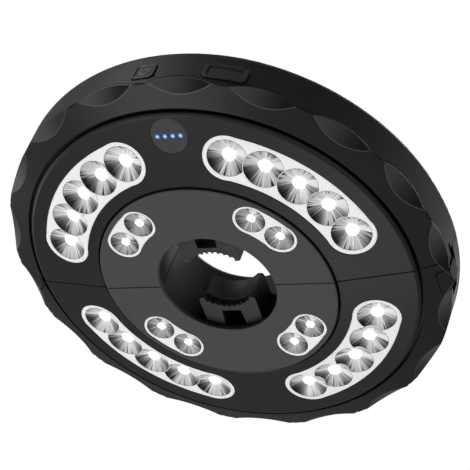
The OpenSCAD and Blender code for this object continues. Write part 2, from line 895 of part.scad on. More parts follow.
module inner_tray(mid) {
    wall = tray_wall - 0.4;
    color("#f2f2f2") difference() {
        upright(tray_recess, inner_board_z)
            bean(inner_row_r, mid, inner_row_n, inner_row_pitch, inner_slot_half - fit_gap);
        upright(tray_recess + tray_face_t, body_h)
            bean(inner_row_r, mid, inner_row_n, inner_row_pitch, inner_slot_half - fit_gap - wall);
        upright(-1, body_h)
            lens_circles(inner_row_r, mid, inner_row_n, inner_row_pitch, inner_lens_r + fit_gap);
    }
}

module lens_cups(r, mid, n, pitch, lens_r, z0, z1) {
    for (i = [0 : n - 1])
        rotate([0, 0, row_angle(mid, n, pitch, i)]) translate([r, 0, z0])
            cylinder(r1 = lens_r - 0.6, r2 = lens_r * 0.42, h = z1 - z0);
}

module outer_lens(mid) {
    face = tray_recess + lens_recess;
    back = tray_recess + tray_face_t;
    flange_half = outer_slot_half - fit_gap - tray_wall - fit_gap;
    color("#e8eef2", 0.5) union() {
        intersection() {
            revolve() plate_band(face, back + 0.2);
            upright(-1, body_h)
                lens_circles(outer_row_r, mid, outer_row_n, outer_row_pitch, outer_lens_r);
        }
        intersection() {
            revolve() plate_band(back, back + lens_flange_t);
            upright(-1, body_h)
                bean(outer_row_r, mid, outer_row_n, outer_row_pitch, flange_half);
        }
        lens_cups(outer_row_r, mid, outer_row_n, outer_row_pitch, outer_lens_r - 0.6,
            plate_at(outer_row_r) + back + 0.4, outer_board_z - emitter_h - 0.2);
    }
}

module inner_lens(mid) {
    face = tray_recess + lens_recess;
    back = tray_recess + tray_face_t;
    flange_half = inner_slot_half - fit_gap - (tray_wall - 0.4) - 0.05;
    color("#e8eef2", 0.5) union() {
        upright(face, back + 0.2)
            lens_circles(inner_row_r, mid, inner_row_n, inner_row_pitch, inner_lens_r);
        upright(back, back + lens_flange_t)
            bean(inner_row_r, mid, inner_row_n, inner_row_pitch, flange_half);
        lens_cups(inner_row_r, mid, inner_row_n, inner_row_pitch, inner_lens_r,
            back + 0.4, inner_board_z - emitter_h - 0.2);
    }
}

module outer_tray_control_left() { outer_tray(outer_row_mid - 180); }
module outer_tray_control_right() { outer_tray(-outer_row_mid); }
module outer_tray_follower_left() { outer_tray(180 - outer_row_mid); }
module outer_tray_follower_right() { outer_tray(outer_row_mid); }
module inner_tray_control_left() { inner_tray(inner_row_mid - 180); }
module inner_tray_control_right() { inner_tray(-inner_row_mid); }
module inner_tray_follower_left() { inner_tray(180 - inner_row_mid); }
module inner_tray_follower_right() { inner_tray(inner_row_mid); }
module outer_lens_control_left() { outer_lens(outer_row_mid - 180); }
module outer_lens_control_right() { outer_lens(-outer_row_mid); }
module outer_lens_follower_left() { outer_lens(180 - outer_row_mid); }
module outer_lens_follower_right() { outer_lens(outer_row_mid); }
module inner_lens_control_left() { inner_lens(inner_row_mid - 180); }
module inner_lens_control_right() { inner_lens(-inner_row_mid); }
module inner_lens_follower_left() { inner_lens(180 - inner_row_mid); }
module inner_lens_follower_right() { inner_lens(inner_row_mid); }

// ---------- Light boards and emitters ----------

module outer_light_board(side) {
    color("#e6e6e0") half(side, 4) difference() {
        upright(outer_board_z, outer_board_z + board_t) difference() {
            circle(ledge_r + 1.8, $fn = 180);
            circle(ring_r + 4.2, $fn = 180);
        }
        outer_screws(side) translate([0, 0, outer_board_z - 1]) cylinder(r = post_r, h = 4);
    }
}

module outer_light_board_control() { outer_light_board(control); }
module outer_light_board_follower() { outer_light_board(follower); }

module inner_light_boards(side) {
    color("#e6e6e0") upright(inner_board_z, inner_board_z + board_t)
        inner_slots(side, inner_slot_half - fit_gap);
}

module inner_light_boards_control() { inner_light_boards(control); }
module inner_light_boards_follower() { inner_light_boards(follower); }

module emitter() {
    translate([-emitter_w / 2, -emitter_l / 2, 0]) cube([emitter_w, emitter_l, emitter_h]);
}

module emitter_row(r, mid, n, pitch, z) {
    for (i = [0 : n - 1])
        rotate([0, 0, row_angle(mid, n, pitch, i)]) translate([r, 0, z - emitter_h]) emitter();
}

module emitters(side) {
    color("#fff7d8") for (m = [outer_row_mid, 180 - outer_row_mid])
        emitter_row(outer_row_r, side * m, outer_row_n, outer_row_pitch, outer_board_z);
    color("#fff7d8") for (m = [inner_row_mid, 180 - inner_row_mid])
        emitter_row(inner_row_r, side * m, inner_row_n, inner_row_pitch, inner_board_z);
}

module emitters_control() { emitters(control); }
module emitters_follower() { emitters(follower); }

// ---------- Pole jaws ----------

module jaw_plan() {
    corner = 1.4;
    slot_y = pole_r + jaw_web;
    difference() {
        union() {
            translate([-jaw_half, -jaw_end_y]) square([2 * jaw_half, jaw_end_y - jaw_tip_y]);
            translate([-jaw_half - jaw_lug, -jaw_lug_y - jaw_lug_l])
                square([2 * (jaw_half + jaw_lug), jaw_lug_l]);
        }
        circle(pole_r);
        polygon([[-jaw_arm_in + 0.6, -slot_y], [jaw_arm_in - 0.6, -slot_y],
            [jaw_arm_in, -slot_y - 8], [jaw_arm_in, -jaw_end_y - 1],
            [-jaw_arm_in, -jaw_end_y - 1], [-jaw_arm_in, -slot_y - 8]]);
        for (s = [-1, 1])
            translate([s * (jaw_half - corner), -jaw_tip_y - corner]) difference() {
                translate([s > 0 ? 0 : -2 * corner, 0]) square(2 * corner);
                circle(corner);
            }
    }
}

module jaw(side) {
    color("#3c3c3e") turned(side) difference() {
        union() {
            upright(jaw_z, jaw_top_z) jaw_plan();
            for (s = [-1, 1])
                translate([s * spring_x, -jaw_end_y + 0.1, spring_z]) rotate([90, 0, 0])
                    cylinder(r = peg_r, h = peg_l);
        }
        for (i = [0 : tooth_count - 1])
            rotate([0, 0, -90 + (i - (tooth_count - 1) / 2) * tooth_pitch])
                translate([pole_r, 0, jaw_z - 1]) cylinder(r = tooth_notch_r, h = tooth_h + 1);
        translate([0, 0, jaw_z + tooth_h]) cylinder(r = pole_r + tooth_relief, h = 1.6);
    }
}

module jaw_control() { jaw(control); }
module jaw_follower() { jaw(follower); }

module jaw_guide(side) {
    length = guide_back_y - guide_front_y;
    out = guide_in + guide_t;
    color("#26262a") turned(side) difference() {
        translate([-out, -guide_back_y - guide_t, front_t])
            cube([2 * out, length + guide_t, guide_top_z + guide_t - front_t]);
        difference() {
            translate([-guide_in, -guide_back_y, front_t + guide_floor_t])
                cube([2 * guide_in, length + 1, guide_top_z - front_t - guide_floor_t]);
            for (s = [-1, 1])
                translate([s * spring_x, -guide_back_y - 0.1, spring_z]) rotate([-90, 0, 0])
                    cylinder(r = peg_r, h = peg_l);
        }
    }
}

module jaw_guide_control() { jaw_guide(control); }
module jaw_guide_follower() { jaw_guide(follower); }

// One wire swept along a helix whose axis is -Y, from y0 to y1
module coil_spring(y0, y1) {
    sides = 6;
    per_turn = 12;
    rings = spring_turns * per_turn;
    run = y1 - y0 - spring_wire;
    points = [
        for (i = [0 : rings])
            let (a = 360 * i / per_turn, y = y0 + spring_wire / 2 + run * i / rings)
                for (k = [0 : sides - 1])
                    let (b = 360 * k / sides, rr = spring_mean_r + spring_wire / 2 * cos(b))
                        [rr * cos(a), -(y + spring_wire / 2 * sin(b)), rr * sin(a)]
    ];
    walls = [
        for (i = [0 : rings - 1])
            for (k = [0 : sides - 1])
                let (a = i * sides + k, b = i * sides + (k + 1) % sides)
                    each [[a, b, b + sides], [a, b + sides, a + sides]]
    ];
    caps = [
        for (k = [1 : sides - 2]) each [
            [0, k + 1, k],
            [rings * sides, rings * sides + k, rings * sides + k + 1]
        ]
    ];
    polyhedron(points, concat(walls, caps));
}

module jaw_springs(side) {
    color("#c0c4c8") turned(side) for (s = [-1, 1])
        translate([s * spring_x, 0, spring_z]) coil_spring(jaw_end_y + 0.05, guide_back_y - 0.05);
}

// Free gap between two turns of a jaw spring, at rest
echo(jaw_spring_gap = (guide_back_y - jaw_end_y - 0.1 - spring_wire) / spring_turns - spring_wire);

module jaw_springs_control() { jaw_springs(control); }
module jaw_springs_follower() { jaw_springs(follower); }

// ---------- Battery and charge board ----------

module battery_cell() {
    color("#1f5fa8") translate([0, -cell_y, cell_z]) rotate([0, 90, 0])
        cylinder(r = cell_r, h = cell_l, center = true);
}

module cell_tabs() {
    color("#d0d2d4") for (s = [-1, 1])
        translate([s * (cell_l / 2 + cell_tab_t / 2), -cell_y, cell_z])
            cube([cell_tab_t, 6, 12], center = true);
}

// The room under a flat that leans with the crowned back, just inside it
module under_ceiling(x) {
    inner = crown_r - wall_t;
    z = crown_c + sqrt(inner * inner - cell_y * cell_y - x * x) - 0.06;
    translate([0, -cell_y, z]) rotate([asin(cell_y / inner), 0, 0])
        translate([-far / 2, -far / 2, -far]) cube([far, far, far]);
}

module cell_cradle() {
    color("#1c1c1c") difference() {
        intersection() {
            union() {
                for (s = [-1, 0, 1])
                    translate([s * cradle_x - cradle_t / 2, -cell_y - cell_r - 1, cell_z - 5])
                        cube([cradle_t, 2 * cell_r + 2, body_h]);
                translate([-cradle_x, -cell_y - 3, cell_z]) cube([2 * cradle_x, 6, body_h]);
            }
            under_ceiling(cradle_x + cradle_t / 2);
        }
        translate([0, -cell_y, cell_z]) rotate([0, 90, 0])
            cylinder(r = cell_r + 0.05, h = 2 * cell_l, center = true);
    }
}

module charge_board() {
    color("#1f6b3a") intersection() {
        translate([0, 0, charge_board_z]) cylinder(r = charge_board_r, h = board_t, $fn = 180);
        translate([-14, -far, 0]) cube([52, far - charge_board_y, body_h]);
    }
}

module charging_socket() {
    outer_end = body_r - port_pad_t - wall_t + 0.6;
    color("#c8ccd0") on_wall(port_angle, controls_z) difference() {
        translate([0, 0, outer_end - socket_l]) linear_extrude(height = socket_l)
            round_rect(socket_h, socket_w, 1.2);
        translate([0, 0, outer_end - socket_l + 1]) linear_extrude(height = socket_l)
            round_rect(socket_h - 0.6, socket_w - 0.6, 0.9);
    }
}

module at_switch() {
    on_wall(button_angle, controls_z + 0.2) translate([0, 0, switch_face_r]) children();
}

module switch_body() {
    color("#202020") at_switch() difference() {
        translate([0, 0, -switch_l]) linear_extrude(height = switch_l)
            square([switch_h, switch_w], center = true);
        translate([0, 0, -button_travel - 1]) cylinder(r = plunger_r + hinge_running, h = switch_l);
    }
}

module switch_plunger() {
    color("#c9a227") at_switch() translate([0, 0, -0.6])
        cylinder(r = plunger_r, h = button_inner_r() - switch_face_r + 0.6);
}

function button_inner_r() = flange_top_r - button_flange - button_stem_l;

// ---------- Controls in the side wall ----------

module wall_band(r0, r1) {
    revolve() translate([r0, 0]) square([r1 - r0, body_h]);
}

module button_hole() {
    on_wall(button_angle, controls_z) translate([0, 0, body_r - 10])
        linear_extrude(height = 20)
            round_rect(button_h + 2 * move_gap, button_w + 2 * move_gap, button_round + move_gap);
}

module power_button() {
    color("#1b1b1b") union() {
        difference() {
            intersection() {
                wall_band(flange_top_r - 0.5, body_r + button_proud);
                on_wall(button_angle, controls_z) translate([0, 0, body_r - 12])
                    linear_extrude(height = 24) round_rect(button_h, button_w, button_round);
            }
            intersection() {
                wall_band(body_r, body_r + 6);
                on_wall(button_angle, controls_z) translate([0, 0, body_r - 12])
                    linear_extrude(height = 24) round_rect(button_h - 2, button_w - 2, button_round - 1);
            }
        }
        intersection() {
            wall_band(flange_top_r - button_flange, flange_top_r);
            on_wall(button_angle, controls_z) translate([0, 0, body_r - 12])
                linear_extrude(height = 24) round_rect(button_h + 2, button_w + 2, button_round + 1);
        }
        on_wall(button_angle, controls_z) translate([0, 0, button_inner_r()])
            cylinder(r = button_stem_r, h = button_stem_l + 0.4);
    }
}

// The wall is thicker round the charging port
module control_wall_pads() {
    inner = body_r - wall_t - port_pad_t;
    intersection() {
        wall_band(inner, body_r - 1);
        on_wall(port_angle, controls_z) translate([0, 0, body_r - 16]) linear_extrude(height = 32)
            round_rect(port_cover_h + 1.4, port_cover_w + 3.4, port_cover_round + 0.6);
    }
}

module port_hole() {
    intersection() {
        wall_band(body_r - port_recess, body_r + 6);
        on_wall(port_angle, controls_z) translate([0, 0, body_r - 16]) linear_extrude(height = 32)
            round_rect(port_cover_h + 0.6, port_cover_w + 0.6, port_cover_round + 0.3);
    }
    on_wall(port_angle, controls_z) translate([0, 0, body_r - 16]) linear_extrude(height = 32)
        round_rect(plug_h + 0.8, plug_w + 0.8, 1.6);
}

module port_cover() {
    base = body_r - port_recess + 0.3;
    color("#101010") difference() {
        union() {
            port_bead();
            intersection() {
                wall_band(base, body_r + port_cover_proud);
                on_wall(port_angle, controls_z) translate([0, 0, body_r - 16])
                    linear_extrude(height = 32)
                        round_rect(port_cover_h, port_cover_w, port_cover_round);
                cylinder(r = far, h = port_bead_z - 0.2);
            }
            on_wall(port_angle, controls_z) translate([0, 0, base - 1.4])
                linear_extrude(height = 2) round_rect(plug_h, plug_w, 1.2);
        }
        intersection() {
            wall_band(body_r - 0.1, body_r + 6);
            on_wall(port_angle, controls_z) translate([0, 0, body_r - 16])
                linear_extrude(height = 32)
                    round_rect(port_cover_h - 3, port_cover_w - 3, port_cover_round - 1.4);
        }
    }
}

// The round bead along the cover's top edge, which it swings on
module port_bead() {
    on_wall(port_angle, port_bead_z) translate([0, 0, body_r]) rotate([90, 0, 0])
        cylinder(r = port_bead_r, h = port_bead_l, center = true);
}

module at_window() {
    rotate([0, 0, window_angle]) translate([window_row_r, 0, 0]) children();
}

module indicator_window() {
    color("#4a4c50", 0.7) union() {
        intersection() {
            revolve() plate_band(0.15, front_t + 0.2);
            at_window() cylinder(r = window_r, h = body_h, center = true);
        }
        intersection() {
            revolve() plate_band(front_t, front_t + 1);
            at_window() cylinder(r = window_r + window_flange, h = body_h, center = true);
            cylinder(r = plate_r - 2, h = body_h, $fn = 180);
        }
    }
}

module indicator_lights() {
    color("#2f7bff") at_window() for (i = [0 : indicator_n - 1])
        translate([0, (i - (indicator_n - 1) / 2) * indicator_pitch, outer_board_z - 3.4])
            cylinder(r = 0.9, h = 3.4);
}

// ---------- Latch ----------

module latch_outline(grow) {
    translate([latch_x, latch_y]) circle(latch_end_r + grow);
    polygon([
        [latch_in_x - grow, latch_near_y - grow],
        [latch_out_x - 0.7 + grow, latch_near_y - grow],
        [latch_out_x + grow, latch_y - 2.4 + grow / 2],
        [latch_x + 1.8 + grow, latch_y + 1.3 + grow],
        [latch_x, latch_y],
        [latch_in_x - grow, latch_y]
    ]);
}

module latch_tab() {
    color("#303030") difference() {
        intersection() {
            upright(bezel_inner_z, latch_top_z) latch_outline(0);
            revolve() polygon([[bezel_inner_r, bezel_at(bezel_inner_r) - 0.15],
                [body_r + 4, bezel_at(body_r + 4) - 0.15], [body_r + 4, body_h], [bezel_inner_r, body_h]]);
        }
        latch_pin_way(latch_pin_r + hinge_running);
    }
}

module latch_pin_way(r) {
    translate([latch_x, latch_y, latch_pin_z]) cylinder(r = r, h = latch_pocket_z + 1.2 - latch_pin_z);
}

module latch_pin() {
    color("#b8bcc0") translate([latch_x, latch_y, latch_pin_z + 0.2])
        cylinder(r = latch_pin_r, h = latch_pocket_z + 0.6 - latch_pin_z);
}

// Room for the tab, its hook and a fingernail in the follower's side wall
module latch_pocket() {
    translate([latch_pocket_x, split_gap / 2 + end_wall_t, 0])
        cube([20, latch_pocket_y - split_gap / 2 - end_wall_t, latch_pocket_z]);
    translate([catch_x, 0, 0]) cube([20, 6, latch_pocket_z]);
}

module latch_pocket_shell() {
    half(follower, split_gap / 2) intersection() {
        revolve() cover_section(0, cover_z);
        translate([latch_pocket_x - hook_shell, 0, 0])
            cube([20, latch_pocket_y + hook_shell, latch_pocket_z + hook_shell]);
    }
}

// The opening beside the split that the hook's barb drops into
module latch_catch_notch() {
    top = hook_arm_z1 + move_gap;
    back_y = -barb_y1 - 0.5;
    translate([catch_x, back_y, 0]) cube([20, -back_y, top]);
    translate([catch_x - 2, back_y, 0]) cube([3, -back_y - split_gap / 2 - catch_wall, top]);
}

// A springy moulded arm: its barb grips behind the control half's end wall
module latch_hook() {
    color("#303030") union() {
        translate([hook_arm_x, -barb_y1, hook_arm_z0])
            cube([hook_arm_t, latch_near_y + barb_y1, hook_arm_z1 - hook_arm_z0]);
        upright(hook_arm_z0, hook_arm_z1) polygon([
            [hook_arm_x + 0.1, -barb_y0], [hook_arm_x - barb_reach, -barb_y0],
            [hook_arm_x - barb_reach, -barb_y0 - 0.6], [hook_arm_x + 0.1, -barb_y1]]);
    }
}

// ---------- Hanging hooks ----------

module hook_plan() {
    cut = hook_eye_r + 1;
    difference() {
        union() {
            translate([hook_pin_x, -hook_hub_half]) square([hook_reach - 4, 2 * hook_hub_half]);
            translate([hook_eye_x, 0]) circle(hook_eye_r);
        }
        translate([hook_eye_x, 0]) circle(hook_eye_r - 3.6);
        translate([hook_eye_x, 0])
            polygon([[0, 0], [-cut, -cut * 0.45], [-cut, -cut * 1.6], [-1, -cut * 1.6]]);
    }
}

module hanging_hook(side) {
    color("#202022") turned(side) translate([0, -hook_y, 0]) difference() {
        union() {
            upright(hook_pin_z - hook_t / 2, hook_pin_z + hook_t / 2) hook_plan();
            translate([hook_pin_x, 0, hook_pin_z]) rotate([90, 0, 0])
                cylinder(r = hook_hub_r, h = 2 * hook_hub_half, center = true);
        }
        translate([hook_pin_x, 0, hook_pin_z]) rotate([90, 0, 0])
            cylinder(r = hook_pin_r + hinge_running, h = 30, center = true);
    }
}

module hanging_hook_control() { hanging_hook(control); }
module hanging_hook_follower() { hanging_hook(follower); }

module hook_pin(side) {
    color("#b8bcc0") turned(side) translate([hook_pin_x, -hook_y, hook_pin_z]) rotate([90, 0, 0])
        cylinder(r = hook_pin_r, h = 2 * (hook_ear_y + hook_ear_t), center = true);
}

module hook_pin_control() { hook_pin(control); }
module hook_pin_follower() { hook_pin(follower); }

// ---------- Case screws ----------

module case_screw(z0, top_z) {
    seat = top_z - sink_depth;
    translate([0, 0, z0]) cylinder(r = screw_r, h = seat - z0 + 0.1);
    translate([0, 0, seat]) difference() {
        cylinder(r = screw_head_r, h = screw_head_h);
        for (a = [0, 90])
            rotate([0, 0, a]) translate([-1.5, -0.35, 0.8]) cube([3, 0.7, 2]);
    }
}

module case_screws(side) {
    color("#55585c") outer_screws(side) case_screw(outer_board_z, crown_at(outer_screw_r));
    color("#55585c") inner_screws(side) case_screw(front_t + 0.6, crown_at(inner_screw_r));
}

module case_screws_control() { case_screws(control); }
module case_screws_follower() { case_screws(follower); }

back_cover_control();
bezel_control();
face_plate_control();
inner_ring_control();
back_cover_follower();
bezel_follower();
face_plate_follower();
inner_ring_follower();
outer_tray_control_left();
outer_tray_control_right();
outer_tray_follower_left();
outer_tray_follower_right();
inner_tray_control_left();
inner_tray_control_right();
inner_tray_follower_left();
inner_tray_follower_right();
outer_lens_control_left();
outer_lens_control_right();
outer_lens_follower_left();
outer_lens_follower_right();
inner_lens_control_left();
inner_lens_control_right();
inner_lens_follower_left();
inner_lens_follower_right();
outer_light_board_control();
outer_light_board_follower();
inner_light_boards_control();
inner_light_boards_follower();
emitters_control();
emitters_follower();
jaw_control();
jaw_follower();
jaw_guide_control();
jaw_guide_follower();
jaw_springs_control();
jaw_springs_follower();
battery_cell();
cell_tabs();
cell_cradle();
charge_board();
charging_socket();
switch_body();
switch_plunger();
power_button();
port_cover();
indicator_window();
indicator_lights();
hinge_pin();
latch_tab();
latch_pin();
latch_hook();
jumper_wires();
hanging_hook_control();
hanging_hook_follower();
hook_pin_control();
hook_pin_follower();
case_screws_control();
case_screws_follower();
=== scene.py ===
"""Looks of a clamp-on patio umbrella light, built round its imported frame.

The frame is in metres. +Z is the back of the lamp, the LED face looks down, the pole runs along Z,
the control half is at -Y and the follower half at +Y. Lengths in this file are in millimetres
unless a comment says otherwise, and MM turns them into metres.
"""

import logging
import math
import random
from dataclasses import dataclass, field
from enum import Enum
from functools import partial

import bpy
from mathutils import Matrix, Vector


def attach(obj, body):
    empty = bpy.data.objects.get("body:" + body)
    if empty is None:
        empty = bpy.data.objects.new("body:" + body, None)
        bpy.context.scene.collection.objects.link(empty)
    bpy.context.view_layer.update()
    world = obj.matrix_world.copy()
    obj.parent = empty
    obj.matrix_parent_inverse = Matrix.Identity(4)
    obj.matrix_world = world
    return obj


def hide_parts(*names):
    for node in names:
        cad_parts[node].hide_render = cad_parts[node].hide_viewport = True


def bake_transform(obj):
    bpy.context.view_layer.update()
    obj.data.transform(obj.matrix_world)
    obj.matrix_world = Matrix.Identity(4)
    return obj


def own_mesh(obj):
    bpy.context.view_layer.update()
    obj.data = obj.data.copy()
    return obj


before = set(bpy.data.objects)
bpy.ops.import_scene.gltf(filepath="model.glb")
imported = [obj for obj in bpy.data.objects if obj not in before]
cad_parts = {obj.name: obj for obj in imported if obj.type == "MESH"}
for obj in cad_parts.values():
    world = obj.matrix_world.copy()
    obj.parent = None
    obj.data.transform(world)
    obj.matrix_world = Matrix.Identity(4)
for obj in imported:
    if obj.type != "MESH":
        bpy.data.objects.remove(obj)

LOG = logging.getLogger("umbrella_light")
MM = 0.001

Colour = tuple[float, float, float]
Socket = bpy.types.NodeSocket


# ---------------------------------------------------------------- shapes and names


class Half(Enum):
    """The two half rings, with the sign of their side of the split plane."""

    CONTROL = ("control", -1)
    FOLLOWER = ("follower", 1)

    @property
    def label(self) -> str:
        """Name used in node and body names."""
        return self.value[0]

    @property
    def side(self) -> int:
        """-1 for the control half, 1 for the follower half."""
        return self.value[1]

    @property
    def body(self) -> str:
        """The frame body of this half's housing."""
        return f"{self.label}_half"

    @property
    def turn(self) -> Matrix:
        """Turns something made for the control half onto this half."""
        return Matrix.Rotation(math.pi if self.side > 0 else 0.0, 4, "Z")


class Row(Enum):
    """The two rows of lights."""

    OUTER = "outer"
    INNER = "inner"


@dataclass(frozen=True)
class RowLayout:
    """Where one row's lights are.

    Attributes:
        row: which row.
        radius: distance of the lights from the pole's axis.
        middle: angle in degrees of the middle of the right-hand strip.
        count: lights in a strip.
        pitch: degrees from one light to the next.
        lens_radius: radius of one lens cup.
        face_z: height of the strip's front.
        tilt: slope of the strip in radians.
        depth: depth of a cup.
    """

    row: Row
    radius: float
    middle: float
    count: int
    pitch: float
    lens_radius: float
    face_z: float
    tilt: float
    depth: float

    def angle(self, half: Half, right: bool, index: int) -> float:
        """Angle of one light about the pole.

        Args:
            half: which half ring.
            right: True for the strip on the +X side.
            index: light in the strip.

        Returns:
            The angle in degrees from +X towards +Y.
        """
        mid = self.middle if right else 180.0 - self.middle
        return half.side * mid + (index - (self.count - 1) / 2) * self.pitch


PLATE_INNER_R = 55.5
PLATE_INNER_Z = 0.8
PLATE_OUTER_R = 90.0
PLATE_OUTER_Z = 6.4
PLATE_SLOPE = (PLATE_OUTER_Z - PLATE_INNER_Z) / (PLATE_OUTER_R - PLATE_INNER_R)
OUTER_ROW_R = 71.54
# how far the lens strips lie behind the front of the face
LENS_SINK = 0.5


def plate_z(radius: float) -> float:
    """Height of the face plate's front at a radius."""
    return PLATE_INNER_Z + (radius - PLATE_INNER_R) * PLATE_SLOPE


def full_turn(count: int, start: float = 0.0) -> list[float]:
    """Evenly spaced angles in radians.

    Args:
        count: how many.
        start: where the first one is, as a share of one step.

    Returns:
        The angles.
    """
    return [2 * math.pi * (k + start) / count for k in range(count)]


OUTER_ROW = RowLayout(
    Row.OUTER, radius=OUTER_ROW_R, middle=45.0, count=5, pitch=12.7, lens_radius=8.83,
    face_z=plate_z(OUTER_ROW_R) + LENS_SINK, tilt=math.atan(PLATE_SLOPE), depth=3.8,
)
INNER_ROW = RowLayout(
    Row.INNER, radius=44.8, middle=44.8, count=2, pitch=18.8, lens_radius=6.7,
    face_z=LENS_SINK, tilt=0.0, depth=1.7,
)


# ---------------------------------------------------------------- node helpers


def add_socket(group: bpy.types.NodeTree, name: str, inward: bool, kind: str, value: object = None) -> None:
    """Adds one socket to a shader group.

    Args:
        group: the node group.
        name: the socket's name.
        inward: True for an input.
        kind: "Float", "Color" or "Vector".
        value: default of an input.
    """
    item = group.interface.new_socket(
        name=name, in_out="INPUT" if inward else "OUTPUT", socket_type=f"NodeSocket{kind}"
    )
    if value is not None:
        item.default_value = value


def calc(tree: bpy.types.NodeTree, operation: str, *values: object) -> Socket:
    """Adds one Math node.

    Args:
        tree: the node tree or group.
        operation: the Math node's operation.
        values: numbers or output sockets for its inputs.

    Returns:
        The node's output socket.
    """
    node = tree.nodes.new("ShaderNodeMath")
    node.operation = operation
    for socket, value in zip(node.inputs, values):
        if isinstance(value, Socket):
            tree.links.new(value, socket)
        else:
            socket.default_value = value
    return node.outputs[0]


def ramp(
    tree: bpy.types.NodeTree, value: Socket, low: float, high: float, start: float, end: float
) -> Socket:
    """Adds one smooth Map Range node.

    Args:
        tree: the node tree or group.
        value: the socket to map.
        low: value that gives the start.
        high: value that gives the end.
        start: result at the low value.
        end: result at the high value.

    Returns:
        The mapped socket.
    """
    node = tree.nodes.new("ShaderNodeMapRange")
    node.interpolation_type = "SMOOTHSTEP"
    for name, number in (("From Min", low), ("From Max", high), ("To Min", start), ("To Max", end)):
        node.inputs[name].default_value = number
    tree.links.new(value, node.inputs["Value"])
    return node.outputs["Result"]


def scaled(tree: bpy.types.NodeTree, colour: Socket, factor: Socket) -> Socket:
    """A colour times a factor.

    Args:
        tree: the node tree or group.
        colour: the colour.
        factor: the factor.

    Returns:
        The scaled colour.
    """
    node = tree.nodes.new("ShaderNodeVectorMath")
    node.operation = "SCALE"
    tree.links.new(colour, node.inputs[0])
    tree.links.new(factor, node.inputs["Scale"])
    return node.outputs[0]


def blended(tree: bpy.types.NodeTree, share: Socket, first: object, second: object) -> Socket:
    """Blends two colours.

    Args:
        tree: the node tree or group.
        share: share of the second colour.
        first: colour or socket.
        second: colour or socket.

    Returns:
        The blended colour.
    """
    mix = tree.nodes.new("ShaderNodeMix")
    mix.data_type = "RGBA"
    tree.links.new(share, mix.inputs["Factor"])
    for socket, value in ((mix.inputs["A"], first), (mix.inputs["B"], second)):
        if isinstance(value, Socket):
            tree.links.new(value, socket)
        else:
            socket.default_value = (*value, 1)
    return mix.outputs["Result"]


def coordinates(tree: bpy.types.NodeTree, kind: str) -> tuple[Socket, ...]:
    """X, Y and Z of the object's own "Object" or "Normal" coordinates."""
    place = tree.nodes.new("ShaderNodeTexCoord")
    parts = tree.nodes.new("ShaderNodeSeparateXYZ")
    tree.links.new(place.outputs[kind], parts.inputs[0])
    return tuple(parts.outputs)


def length(tree: bpy.types.NodeTree, first: Socket, second: Socket) -> Socket:
    """Length of a vector in a plane, from its two parts."""
    squares = (calc(tree, "MULTIPLY", part, part) for part in (first, second))
    return calc(tree, "SQRT", calc(tree, "ADD", *squares))


# ---------------------------------------------------------------- shared effects


class ScallopGroup:
    """Masks of the finger scallops round the rim: their floors, their edge lines and the way along them,
    which place the painted floor shading and painted edge highlights.

    The scallops are cut by cylinders that lean at 45 degrees, one every 20 degrees round the pole.
    """

    NAME = "scallop_masks"
    PITCH = math.radians(20.0)
    FIRST = math.radians(-4.0)
    RADIUS = 72.64 * MM
    AXIS_X = 152.12 * MM
    AXIS_Z = -37.92 * MM
    HALF = 15.0 * MM
    # distances from the cutting cylinder, over which the floor ends and the painted highlight line at the
    # edge fades
    FLOOR_FADE = (0.05 * MM, 0.1 * MM)
    LINE_FADE = (0.1 * MM, 0.24 * MM)

    @classmethod
    def get(cls) -> bpy.types.NodeTree:
        """The group, made on first use."""
        found = bpy.data.node_groups.get(cls.NAME)
        return found if found else cls._build()

    @classmethod
    def _build(cls) -> bpy.types.NodeTree:
        """Works the masks out from the distance to the nearest scallop's cylinder."""
        group = bpy.data.node_groups.new(cls.NAME, "ShaderNodeTree")
        for name in ("Floor", "Edge", "Along"):
            add_socket(group, name, False, "Float")
        step = partial(calc, group)
        out = group.nodes.new("NodeGroupOutput").inputs
        x, y, z = coordinates(group, "Object")
        turn = step("SUBTRACT", step("ARCTAN2", y, x), cls.FIRST - cls.PITCH / 2)
        turn = step("SUBTRACT", step("FLOORED_MODULO", turn, cls.PITCH), cls.PITCH / 2)
        reach = length(group, x, y)
        outward = step("MULTIPLY", reach, step("COSINE", turn))
        across = step("MULTIPLY", reach, step("SINE", turn))
        lean = step("SUBTRACT", step("SUBTRACT", outward, z), cls.AXIS_X - cls.AXIS_Z)
        lean = step("MULTIPLY", lean, math.sqrt(0.5))
        over = step("SUBTRACT", length(group, lean, across), cls.RADIUS)
        floor = ramp(group, step("ABSOLUTE", over), *cls.FLOOR_FADE, 1.0, 0.0)
        outside = step("GREATER_THAN", over, cls.FLOOR_FADE[0])
        edge = step("MULTIPLY", outside, ramp(group, over, *cls.LINE_FADE, 1.0, 0.0))
        group.links.new(floor, out["Floor"])
        group.links.new(edge, out["Edge"])
        group.links.new(step("MULTIPLY", across, 1 / cls.HALF), out["Along"])
        return group


